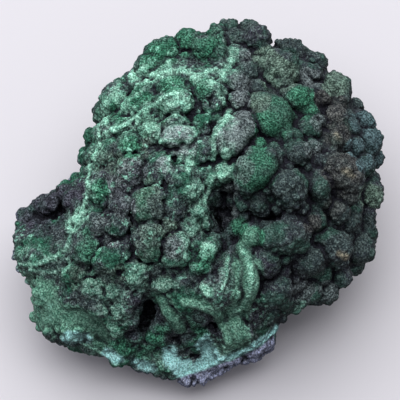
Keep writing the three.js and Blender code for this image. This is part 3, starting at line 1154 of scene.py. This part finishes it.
    def bumps(self, points: np.ndarray) -> np.ndarray:
        """Height of the fine skin over the stone's shape, which leaves the rest patch flat.

        Args:
            points: The mesh's vertices in face millimetres.

        Returns:
            One height in mm for each vertex.
        """
        u, v, w = points.T
        grains = self.grain_relief * (grain_height(points, self.grain_size, SEED) - 0.55)
        bumps = grains + self.lump_relief * (self.noise.layered(points, 2.6) - 0.5)
        bumps = bumps * (1.0 - 0.75 * smooth_share(u, v))
        bumps = bumps + self.band_relief * vein_cover(SILKY, u, v) * self.bands(points)
        return bumps * np.where(FACE.height(v, w) > 0.35, 1.0, 0.0)

    def bands(self, points: np.ndarray) -> np.ndarray:
        """Height of the fine bands that follow the smooth, swept parts.

        Args:
            points: Rows of places in face millimetres.

        Returns:
            One value from -1 to 1 for each row.
        """
        run = np.full(len(points), np.inf)
        for vein in VEINS:
            if vein.mineral is SILKY:
                run = np.minimum(run, distance_to_path(points[:, :2], np.array(vein.path)))
        return np.sin(2.0 * math.pi * (run / self.band_width + 2.6 * self.noise.layered(points, 7.0)))

    def paint(
        self, mesh: bpy.types.Mesh, shape: Field, tops: np.ndarray, points: np.ndarray, ways: np.ndarray
    ) -> None:
        """Write the masks that the finish reads onto the mesh, among them those that it turns into painted
        shade and painted light.

        Args:
            mesh: The stone's mesh.
            shape: The distance field it came from.
            tops: Height w of the skin over each column.
            points: The mesh's vertices in face millimetres.
            ways: Their outward directions.
        """
        u, v, w = points.T
        inside = np.clip(0.5 - shape.values / 1.6, 0.0, 1.0).astype(np.float32)
        near = shape.sample(shape.blurred(inside, 0.9), points + 0.3 * ways)
        broad = shape.sample(shape.blurred(inside, 3.0), points + 0.8 * ways)
        floor_places = np.column_stack([u, v, np.full(len(points), shape.low[2])])
        column = shape.sample(np.repeat(np.maximum(tops, shape.low[2])[:, :, None], 2, axis=2), floor_places)
        shown = smoothstep(-4.5, -1.5, w - column) * smoothstep(-0.35, 0.1, ways[:, 2])
        shown = shown * smoothstep(-4.0, 0.0, w - self.rim(v))
        masks = {mineral: np.zeros(len(points)) for mineral in Mineral}
        self.tint_lobes(masks, points, shown)
        side, up = (1.4 * (self.noise.layered(points + shift, 3.5) - 0.5) for shift in (31, 57))
        tatter, dusty = self.noise.layered(points, 2.2), self.noise.layered(points + 91, 1.6)
        for mineral in Mineral:
            cover = vein_cover(mineral, u + side, v + up, tatter, dusty)
            masks[mineral] = np.maximum(masks[mineral], cover * shown)
        masks[ROCK] = self.rock_share(points)
        named = {mineral.value: mask for mineral, mask in masks.items()}
        # how enclosed each place is, close by and broadly; the finish turns both into painted shade
        named["hollow"] = np.clip((near - 0.32) / 0.36, 0.0, 1.0)
        named["deep"] = np.clip((broad - 0.38) / 0.34, 0.0, 1.0)
        # painted light: how far each place faces the lamp's way, which the finish turns into lighter
        # upturned faces and darker undersides
        named["dust"] = smoothstep(-0.25, 0.95, ways @ np.array(self.painted_light_way))
        # painted highlight: the most open places, the tips of lobes and grains, are marked to be lightened
        named["crest"] = np.clip((0.46 - near) / 0.22, 0.0, 1.0)
        named["band"] = 0.5 + 0.5 * self.bands(points)
        named["dome"] = np.maximum(self.dome_share(u, v), 1.0 - shown)
        for name, mask in named.items():
            mesh.attributes.new(name, "FLOAT", "POINT").data.foreach_set("value", mask.astype(np.float32))

    def tint_lobes(self, masks: dict[Mineral, np.ndarray], points: np.ndarray, shown: np.ndarray) -> None:
        """Tint each lobe of the show face with its own mineral, and hand a shared place to the nearer lobe.

        Args:
            masks: Each mineral's mask, which is changed.
            points: The mesh's vertices in face millimetres.
            shown: How far each vertex lies on the show face.
        """
        best = np.full(len(points), 1.25)
        for lobe in DOME_LOBES + MASS_LOBES:
            reach = 1.6 * lobe.radius
            beside = np.abs(points[:, 0] - lobe.u) < reach
            near = np.flatnonzero(beside & (np.abs(points[:, 1] - lobe.v) < reach))
            gap = np.hypot(points[near, 0] - lobe.u, points[near, 1] - lobe.v) / lobe.radius
            closer = gap < best[near]
            near, gap = near[closer], gap[closer]
            best[near] = gap
            for mineral in (OLIVE, GREEN, BROWN, BLUE, MAUVE):
                full = 1.0 if lobe.hue is mineral else 0.0
                masks[mineral][near] = full * smoothstep(1.2, 0.75, gap) * shown[near]


def vein_cover(
    mineral: Mineral,
    u: np.ndarray,
    v: np.ndarray,
    tatter: np.ndarray | None = None,
    dusty: np.ndarray | None = None,
) -> np.ndarray:
    """How fully a mineral's veins cover places of the show face.

    Args:
        mineral: The mineral.
        u: Places to the right in mm.
        v: Places up the face in mm.
        tatter: Noise that breaks the veins' edges, or None for even edges.
        dusty: Noise that strews mint dust beside its veins.

    Returns:
        One value for each place, from 0 to 1.
    """
    total = np.zeros(len(u))
    for vein in VEINS:
        if vein.mineral is not mineral:
            continue
        path = np.array(vein.path)
        half = 0.5 * vein.width
        low, high = path.min(0) - half - VEIN_ROOM, path.max(0) + half + VEIN_ROOM
        near = np.flatnonzero((u > low[0]) & (u < high[0]) & (v > low[1]) & (v < high[1]))
        gap = distance_to_path(np.column_stack([u[near], v[near]]), path)
        if tatter is not None:
            gap = gap + vein.ragged * (tatter[near] - 0.5) * (0.4 + 2.2 * half)
        mask = vein.strength * smoothstep(half + 0.7, half - 0.6, gap)
        if mineral is MINT and tatter is not None:
            dust = smoothstep(half + 3.4, half, gap) * smoothstep(0.4, 0.68, dusty[near])
            mask = np.maximum(mask, 0.45 * vein.strength * dust)
        total[near] = np.maximum(total[near], mask)
    return total


def smooth_share(u: np.ndarray, v: np.ndarray) -> np.ndarray:
    """How far places of the show face carry one of the smooth minerals, from 0 to 1."""
    return np.maximum.reduce([vein_cover(mineral, u, v) for mineral in (SILKY, TURQUOISE, FROST)])


# ---- Mesh helpers


def distance_to_path(places: np.ndarray, path: np.ndarray) -> np.ndarray:
    """Distance from places to a line through points.

    Args:
        places: Rows of (u, v) in mm.
        path: The line's points, as rows of (u, v).

    Returns:
        One distance in mm for each row.
    """
    best = np.full(len(places), np.inf)
    for a, b in zip(path[:-1], path[1:]):
        span = b - a
        t = np.clip((places - a) @ span / max(span @ span, 1e-9), 0.0, 1.0)
        best = np.minimum(best, np.linalg.norm(places - a - t[:, None] * span, axis=1))
    return best


def along(path: Path, step: float) -> list[tuple[float, float]]:
    """Set out points along a line.

    Args:
        path: The line's points.
        step: About how far apart to set them, in mm.

    Returns:
        The points, with both ends of each stretch.
    """
    spots = []
    for (au, av), (bu, bv) in zip(path[:-1], path[1:]):
        count = max(1, round(math.hypot(bu - au, bv - av) / step))
        spots += [(au + (bu - au) * i / count, av + (bv - av) * i / count) for i in range(count + 1)]
    return spots


def smooth_heights(tops: np.ndarray, reach: int) -> np.ndarray:
    """Average a map of heights over a box of cells, leaving out its empty cells.

    Args:
        tops: The heights, minus infinity where there is no stone.
        reach: Half the box's side in cells.

    Returns:
        The smoothed map.
    """
    there = np.isfinite(tops)
    total, count = np.where(there, tops, 0.0), there.astype(float)
    for axis in (0, 1):
        total = sum(np.roll(total, step, axis) for step in range(-reach, reach + 1))
        count = sum(np.roll(count, step, axis) for step in range(-reach, reach + 1))
    return np.where(there, total / np.maximum(count, 1.0), -np.inf)


def largest_piece(points: np.ndarray, quads: np.ndarray) -> tuple[np.ndarray, np.ndarray]:
    """Keep the largest connected piece of a mesh, by spreading the lowest vertex number over each.

    Args:
        points: Rows of vertices.
        quads: Rows of four vertex numbers.

    Returns:
        The vertices and quads that are kept.
    """
    label = np.arange(len(points))
    edges = np.vstack([quads[:, [i, (i + 1) % 4]] for i in range(4)])
    while True:
        low = np.minimum(label[edges[:, 0]], label[edges[:, 1]])
        fresh = label.copy()
        np.minimum.at(fresh, edges[:, 0], low)
        np.minimum.at(fresh, edges[:, 1], low)
        fresh = fresh[fresh]
        fresh = fresh[fresh]
        if np.array_equal(fresh, label):
            break
        label = fresh
    keep = label == np.argmax(np.bincount(label))
    number = np.cumsum(keep) - 1
    return points[keep], number[quads[keep[quads[:, 0]]]]


def lay_out(mesh: bpy.types.Mesh, name: str) -> None:
    """Give a round mesh a flat layout: the two halves of a sphere unfolded onto one square.

    Args:
        mesh: The mesh.
        name: Name of the layout.
    """
    points = np.empty(len(mesh.vertices) * 3)
    mesh.vertices.foreach_get("co", points)
    points = points.reshape(-1, 3)
    ways = points - 0.5 * (points.min(0) + points.max(0))
    ways /= np.abs(ways).sum(axis=1, keepdims=True)
    x, y, z = ways.T
    sign_x, sign_y = np.where(x >= 0, 1.0, -1.0), np.where(y >= 0, 1.0, -1.0)
    across = np.where(z < 0.0, (1.0 - np.abs(y)) * sign_x, x)
    up = np.where(z < 0.0, (1.0 - np.abs(x)) * sign_y, y)
    flat = np.column_stack([across, up]) * 0.5 + 0.5
    corners = np.empty(len(mesh.loops), np.int32)
    mesh.loops.foreach_get("vertex_index", corners)
    mesh.uv_layers.new(name=name).data.foreach_set("uv", flat[corners].ravel().astype(np.float32))


def placed(name: str, data: bpy.types.ID) -> bpy.types.Object:
    """Put something into the scene.

    Args:
        name: The object's name.
        data: Its mesh, lamp or camera.

    Returns:
        The object.
    """
    thing = bpy.data.objects.new(name, data)
    bpy.context.scene.collection.objects.link(thing)
    return thing


# ---- Shader building


class Shader:
    """Builds one material's nodes."""

    def __init__(self, name: str) -> None:
        """Start an empty material.

        Args:
            name: The material's name.
        """
        self.material = bpy.data.materials.new(name)
        self.material.use_nodes = True
        self.tree = self.material.node_tree
        self.tree.nodes.clear()

    def node(
        self, kind: str, settings: dict[str, str | bool] | None = None, **inputs: "Wire | float | Colour"
    ) -> bpy.types.Node:
        """Add a node.

        Args:
            kind: The node's type.
            settings: Properties to set before its sockets.
            inputs: Values or wires for its sockets, by socket name with underscores for spaces.

        Returns:
            The new node.
        """
        made = self.tree.nodes.new(kind)
        for name, value in (settings or {}).items():
            setattr(made, name, value)
        for name, value in inputs.items():
            socket = next(s for s in made.inputs if s.name == name.replace("_", " ") and s.enabled)
            self.feed(socket, value)
        return made

    def feed(self, socket: bpy.types.NodeSocket, value: "Wire | float | Colour") -> None:
        """Set a socket to a value, or join a wire to it.

        Args:
            socket: The socket.
            value: A wire, a number or a colour.
        """
        if isinstance(value, Wire):
            self.tree.links.new(value.output, socket)
        elif isinstance(value, tuple):
            socket.default_value = (*value, 1.0)
        else:
            socket.default_value = value

    def wire(self, node: bpy.types.Node, output: str | int = 0) -> "Wire":
        """The value that leaves a node."""
        return Wire(self, node.outputs[output])

    def mask(self, name: str) -> "Wire":
        """A mask that is stored on the mesh."""
        return self.wire(self.node("ShaderNodeAttribute", {"attribute_name": name}), "Fac")

    def math(self, operation: str, *values: "Wire | float", clamp: bool = False) -> "Wire":
        """Work out a sum.

        Args:
            operation: The sum.
            values: What it is worked out on.
            clamp: Whether to hold the outcome between 0 and 1.

        Returns:
            The outcome.
        """
        made = self.node("ShaderNodeMath", {"operation": operation, "use_clamp": clamp})
        for socket, value in zip(made.inputs, values):
            self.feed(socket, value)
        return self.wire(made)

    def mix(
        self, share: "Wire | float", first: "Wire | Colour", second: "Wire | Colour", blend: str = "MIX"
    ) -> "Wire":
        """Mix two colours.

        Args:
            share: How much of the second to take.
            first: The colour below.
            second: The colour above.
            blend: How they mix.

        Returns:
            The mixed colour.
        """
        settings = {"data_type": "RGBA", "blend_type": blend}
        made = self.node("ShaderNodeMix", settings, Factor=share, A=first, B=second)
        return Wire(self, next(s for s in made.outputs if s.enabled))

    def ramp(self, value: "Wire", low: float, high: float, bottom: float = 0.0, top: float = 1.0) -> "Wire":
        """Ease a value between two limits.

        Args:
            value: The value.
            low: Where it begins to change.
            high: Where it stops changing.
            bottom: What comes out at low and before it.
            top: What comes out at high and past it.

        Returns:
            The eased value.
        """
        span = {"From_Min": low, "From_Max": high, "To_Min": bottom, "To_Max": top}
        eased = {"interpolation_type": "SMOOTHSTEP"}
        return self.wire(self.node("ShaderNodeMapRange", eased, Value=value, **span))

    def noise(self, place: "Wire", scale: float, detail: float = 3.0, roughness: float = 0.6) -> "Wire":
        """Cloudy noise with a number of bumps to the metre."""
        looks = {"Scale": scale, "Detail": detail, "Roughness": roughness}
        return self.wire(self.node("ShaderNodeTexNoise", None, Vector=place, **looks), "Fac")

    def grains(self, place: "Wire", scale: float, output: str = "Distance") -> "Wire":
        """Cells with a number to the metre: the distance to their middles, or their own colours."""
        return self.wire(self.node("ShaderNodeTexVoronoi", None, Vector=place, Scale=scale), output)

    def surfaced(self, shine: float, **inputs: "Wire | float | Colour") -> bpy.types.Material:
        """Close the material with its one surface.

        Args:
            shine: Strength of its gloss.
            inputs: Values or wires for the surface's other sockets.

        Returns:
            The finished material.
        """
        surface = self.node("ShaderNodeBsdfPrincipled", None, Specular_IOR_Level=shine, **inputs)
        self.node("ShaderNodeOutputMaterial", None, Surface=self.wire(surface))
        return self.material


@dataclass(frozen=True)
class Wire:
    """A value inside a material, on which sums can be written as in Python."""

    shader: Shader
    output: bpy.types.NodeSocket

    def __add__(self, other: "Wire | float") -> "Wire":
        """This plus other."""
        return self.shader.math("ADD", self, other)

    def __radd__(self, other: float) -> "Wire":
        """Other plus this."""
        return self.shader.math("ADD", other, self)

    def __sub__(self, other: "Wire | float") -> "Wire":
        """This minus other."""
        return self.shader.math("SUBTRACT", self, other)

    def __rsub__(self, other: float) -> "Wire":
        """Other minus this."""
        return self.shader.math("SUBTRACT", other, self)

    def __mul__(self, other: "Wire | float") -> "Wire":
        """This times other."""
        return self.shader.math("MULTIPLY", self, other)

    def __rmul__(self, other: float) -> "Wire":
        """Other times this."""
        return self.shader.math("MULTIPLY", other, self)

    def clamped(self) -> "Wire":
        """This held between 0 and 1."""
        return self.shader.math("ADD", self, 0.0, clamp=True)


@dataclass(frozen=True)
class Grain:
    """The patterns that break up every colour of the stone, from broad to fine."""

    place: Wire
    patches: Wire  # a centimetre or two across
    cloud: Wire  # a few millimetres across
    fine: Wire  # as fine as the grains
    cell: Wire  # distance to the nearest grain's middle
    tone: Wire  # each grain's own value


@dataclass(frozen=True)
class MalachiteFinish:
    """Colours and grain of the stone, with painted shade laid into its hollows and creases and painted light
    on its upturned faces and crests. Colours are linear, and sizes are in mm.
    """

    dark: Colour = (0.026, 0.040, 0.042)
    dusk: Colour = (0.030, 0.031, 0.044)
    fleck: Colour = (0.120, 0.168, 0.156)
    moss: Colour = (0.018, 0.106, 0.061)
    rock: Colour = (0.320, 0.355, 0.500)
    rock_dark: Colour = (0.160, 0.180, 0.250)
    rock_light: Colour = (0.40, 0.42, 0.48)
    # painted shade: the near-black that the colour is mixed towards in hollows and creases
    crevice_shade: Colour = (0.017, 0.018, 0.025)
    mint_fleck: Colour = (0.200, 0.440, 0.340)
    grain_size: float = 0.5
    relief: float = 0.26  # height of the grains in the light
    dull: float = 0.85  # roughness of most grains
    glint: float = 0.45  # roughness of the few that catch the light
    shine: float = 0.12  # strength of the gloss

    def tints(self) -> dict[Mineral, tuple[Colour, Colour]]:
        """Two colours for each mineral, between which its grains vary."""
        return {
            OLIVE: ((0.050, 0.084, 0.066), (0.170, 0.260, 0.205)),
            GREEN: ((0.013, 0.075, 0.042), (0.066, 0.230, 0.145)),
            BROWN: ((0.022, 0.026, 0.027), (0.094, 0.098, 0.092)),
            BLUE: ((0.030, 0.055, 0.060), (0.100, 0.165, 0.178)),
            MAUVE: ((0.038, 0.049, 0.054), (0.165, 0.205, 0.205)),
            DUSK: ((0.018, 0.018, 0.028), (0.064, 0.066, 0.085)),
            FROST: ((0.120, 0.165, 0.165), (0.290, 0.370, 0.360)),
            SILKY: ((0.036, 0.125, 0.085), (0.165, 0.340, 0.252)),
            MINT: ((0.110, 0.310, 0.220), (0.370, 0.670, 0.530)),
            TURQUOISE: ((0.290, 0.620, 0.600), (0.430, 0.780, 0.760)),
            TAN: ((0.140, 0.150, 0.110), (0.380, 0.340, 0.240)),
        }

    def material(self) -> bpy.types.Material:
        """Build the material.

        Returns:
            The finished material.
        """
        s = Shader("malachite")
        grain = self.grain(s)
        colour = self.crust(s, grain)
        colour = self.tinted(s, grain, colour)
        colour = s.mix(s.mask(ROCK.value), colour, self.bare_rock(s, grain))
        # painted shade: the colour is mixed towards near-black where the skin lies enclosed, in hollows,
        # creases and the gaps between lobes
        painted_crease_shade = s.ramp(s.mask("hollow"), 0.12, 0.7) * 0.88 + s.ramp(s.mask("deep"), 0.2, 0.9) * 0.3
        colour = s.mix(painted_crease_shade.clamped(), colour, self.crevice_shade)
        shade = self.shade(s, grain)
        grey = s.wire(s.node("ShaderNodeCombineColor", None, Red=shade, Green=shade, Blue=shade))
        height = 0.7 * (1.0 - s.ramp(grain.cell, 0.1, 0.75)) + 1.3 * grain.fine + 0.5 * grain.cloud
        bump = s.node("ShaderNodeBump", None, Height=height, Distance=self.relief * MM, Strength=1.0)
        return s.surfaced(
            self.shine,
            Base_Color=s.mix(1.0, colour, grey, "MULTIPLY"),
            Roughness=s.ramp(grain.tone, 0.9, 1.0, self.dull, self.glint),
            Normal=s.wire(bump),
        )

    def grain(self, s: Shader) -> Grain:
        """Lay the patterns over the stone, in its own coordinates.

        Args:
            s: The material's shader.

        Returns:
            The patterns.
        """
        place = s.wire(s.node("ShaderNodeTexCoord"), "Object")
        per_metre = 1.0 / (self.grain_size * MM)
        own_colour = s.node("ShaderNodeSeparateColor", None, Color=s.grains(place, per_metre, "Color"))
        return Grain(
            place=place,
            patches=s.noise(place, 60.0),
            cloud=s.noise(place, 300.0, 4.0, 0.7),
            fine=s.noise(place, per_metre, 1.0, 0.5),
            cell=s.grains(place, 0.7 * per_metre),
            tone=s.wire(own_colour, "Red"),
        )

    def crust(self, s: Shader, grain: Grain) -> Wire:
        """The dark crust, with pale flecks and moss that thin out on the dome.

        Args:
            s: The material's shader.
            grain: Its patterns.

        Returns:
            The crust's colour.
        """
        dome = s.mask("dome")
        colour = s.mix(s.ramp(grain.patches, 0.46, 0.62), self.dark, self.dusk)
        lit = s.ramp(0.6 * grain.tone + 0.5 * grain.cloud + 0.5 * grain.fine, 0.7, 1.15)
        colour = s.mix(lit * (0.72 - 0.17 * dome), colour, self.fleck)
        mossy = s.ramp(s.noise(grain.place, 95.0), 0.46, 0.62)
        return s.mix(mossy * (0.75 - 0.42 * dome), colour, self.moss)

    def tinted(self, s: Shader, grain: Grain, colour: Wire) -> Wire:
        """Lay the minerals over the crust, then the last mint flecks of the mass.

        Args:
            s: The material's shader.
            grain: Its patterns.
            colour: The crust's colour.

        Returns:
            The colour of the whole crust.
        """
        tone = s.ramp(0.45 * grain.tone + 0.6 * grain.cloud + 0.8 * grain.fine, 0.65, 1.25)
        for mineral, (low, high) in self.tints().items():
            share = (0.75 * tone + 0.35 * s.mask("band")).clamped() if mineral is SILKY else tone
            if mineral in (MINT, TURQUOISE, SILKY, TAN, FROST):
                broken = s.ramp(grain.cloud, 0.2, 0.5, 0.7, 1.0)
            else:
                broken = s.ramp(grain.patches, 0.3, 0.55, 0.3, 0.9)
            colour = s.mix(s.mask(mineral.value) * broken, colour, s.mix(share, low, high))
        flecked = s.ramp(s.noise(grain.place, 480.0, 2.0, 0.6), 0.58, 0.66) * s.ramp(grain.patches, 0.4, 0.6)
        # no mint flecks on the purple-black and painted shade of the pits and trough
        flecked = flecked * (1.0 - s.mask("dome")) * (0.85 - 0.85 * s.mask(DUSK.value))
        return s.mix(flecked, colour, self.mint_fleck)

    def bare_rock(self, s: Shader, grain: Grain) -> Wire:
        """The colour of the rough rock under the rim."""
        colour = s.mix(s.ramp(grain.cloud, 0.35, 0.7), self.rock_dark, self.rock)
        return s.mix(s.ramp(grain.tone, 0.8, 1.0) * 0.5, colour, self.rock_light)

    def shade(self, s: Shader, grain: Grain) -> Wire:
        """How light the skin is: painted light that lightens the faces turned up towards the lamp and
        darkens those turned away, a painted highlight on its crests, and speckle from its grains.

        Args:
            s: The material's shader.
            grain: Its patterns.

        Returns:
            What the colour is multiplied by.
        """
        pale = s.mask(MINT.value) + s.mask(TURQUOISE.value) + s.mask(SILKY.value) + s.mask(FROST.value)
        speckle = s.ramp(grain.fine, 0.32, 0.68, -0.36, 0.46) * (1.0 - 0.4 * pale.clamped())
        speckle = speckle * (1.4 - 0.3 * s.mask("dome"))
        # painted light: upturned faces made up to 1.28 times lighter, faces turned away down to 0.34
        shade = s.ramp(s.mask("dust"), 0.0, 1.0, 0.34, 1.28) * (1.0 + speckle)
        # painted highlight: crests made up to 1.3 times lighter; grain edges darker
        return shade * s.ramp(s.mask("crest"), 0.1, 0.9, 0.95, 1.3) * s.ramp(grain.cell, 0.3, 0.8, 1.1, 0.7)


# ---- The studio


@dataclass
class Studio:
    """A plain pale table, soft light from behind and above, and the camera. Lengths are in metres."""

    floor_size: float = 14.0
    floor_colour: Colour = (0.77, 0.765, 0.80)
    floor_roughness: float = 0.9
    floor_shine: float = 0.1
    window_place: Colour = (-0.14, 0.40, 1.20)
    window_size: float = 2.2
    window_power: float = 25.5  # watts
    window_colour: Colour = (1.0, 0.985, 1.0)
    room_colour: Colour = (0.96, 0.94, 1.0)
    room_light: float = 0.34
    distance: float = 3.0
    field_width: float = 0.12  # how much of the stone's surroundings the camera takes in
    elevation: float = 60.0  # degrees over the table
    sensor: float = 36.0  # mm
    aim_height: float = 5.0  # mm over the show face's middle

    def floor(self) -> bpy.types.Object:
        """Lay the table.

        Returns:
            The table, with its finish.
        """
        half = 0.5 * self.floor_size
        corners = [(-half, -half, 0), (half, -half, 0), (half, half, 0), (-half, half, 0)]
        mesh = bpy.data.meshes.new("table")
        mesh.from_pydata(corners, [], [(0, 1, 2, 3)])
        finish = Shader("table").surfaced(
            self.floor_shine, Base_Color=self.floor_colour, Roughness=self.floor_roughness
        )
        mesh.materials.append(finish)
        return placed("table", mesh)

    def lights(self) -> None:
        """Hang the one soft square lamp and fill the room with weak light."""
        lamp = bpy.data.lights.new("window", "AREA")
        lamp.shape = "SQUARE"
        lamp.size = self.window_size
        lamp.energy = self.window_power
        lamp.color = self.window_colour
        hung = placed("window", lamp)
        hung.location = Vector(self.window_place)
        hung.rotation_euler = hung.location.to_track_quat("Z", "Y").to_euler()
        world = bpy.data.worlds.new("room")
        world.use_nodes = True
        back = world.node_tree.nodes["Background"]
        back.inputs["Color"].default_value = (*self.room_colour, 1.0)
        back.inputs["Strength"].default_value = self.room_light
        bpy.context.scene.world = world
        bpy.context.scene.view_settings.view_transform = "Standard"

    def camera(self) -> None:
        """Set up the camera, square to the show face."""
        lens = bpy.data.cameras.new("camera")
        lens.sensor_width = self.sensor
        lens.lens = self.sensor * self.distance / self.field_width
        lens.clip_start = 0.01
        seen = placed("camera", lens)
        tilt = math.radians(self.elevation)
        way = Vector((0.0, -math.cos(tilt), math.sin(tilt)))
        aim = Vector(FACE.to_frame(np.array([[0.0, 0.0, self.aim_height]]))[0])
        seen.location = aim + way * self.distance
        seen.rotation_euler = way.to_track_quat("Z", "Y").to_euler()
        bpy.context.scene.camera = seen


def main() -> None:
    """Build the stone and its studio."""
    logging.basicConfig(level=logging.INFO, format="%(message)s")
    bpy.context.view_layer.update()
    stone = Stone(cell=Stone.cell).build()
    stone.data.materials.append(MalachiteFinish().material())
    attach(stone, BODY)
    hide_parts(NODE)
    log.info("stone: %d vertices", len(stone.data.vertices))
    studio = Studio()
    studio.floor()
    studio.lights()
    studio.camera()
    log.info("studio: table, lamp and camera")


if __name__ == "__main__":
    main()
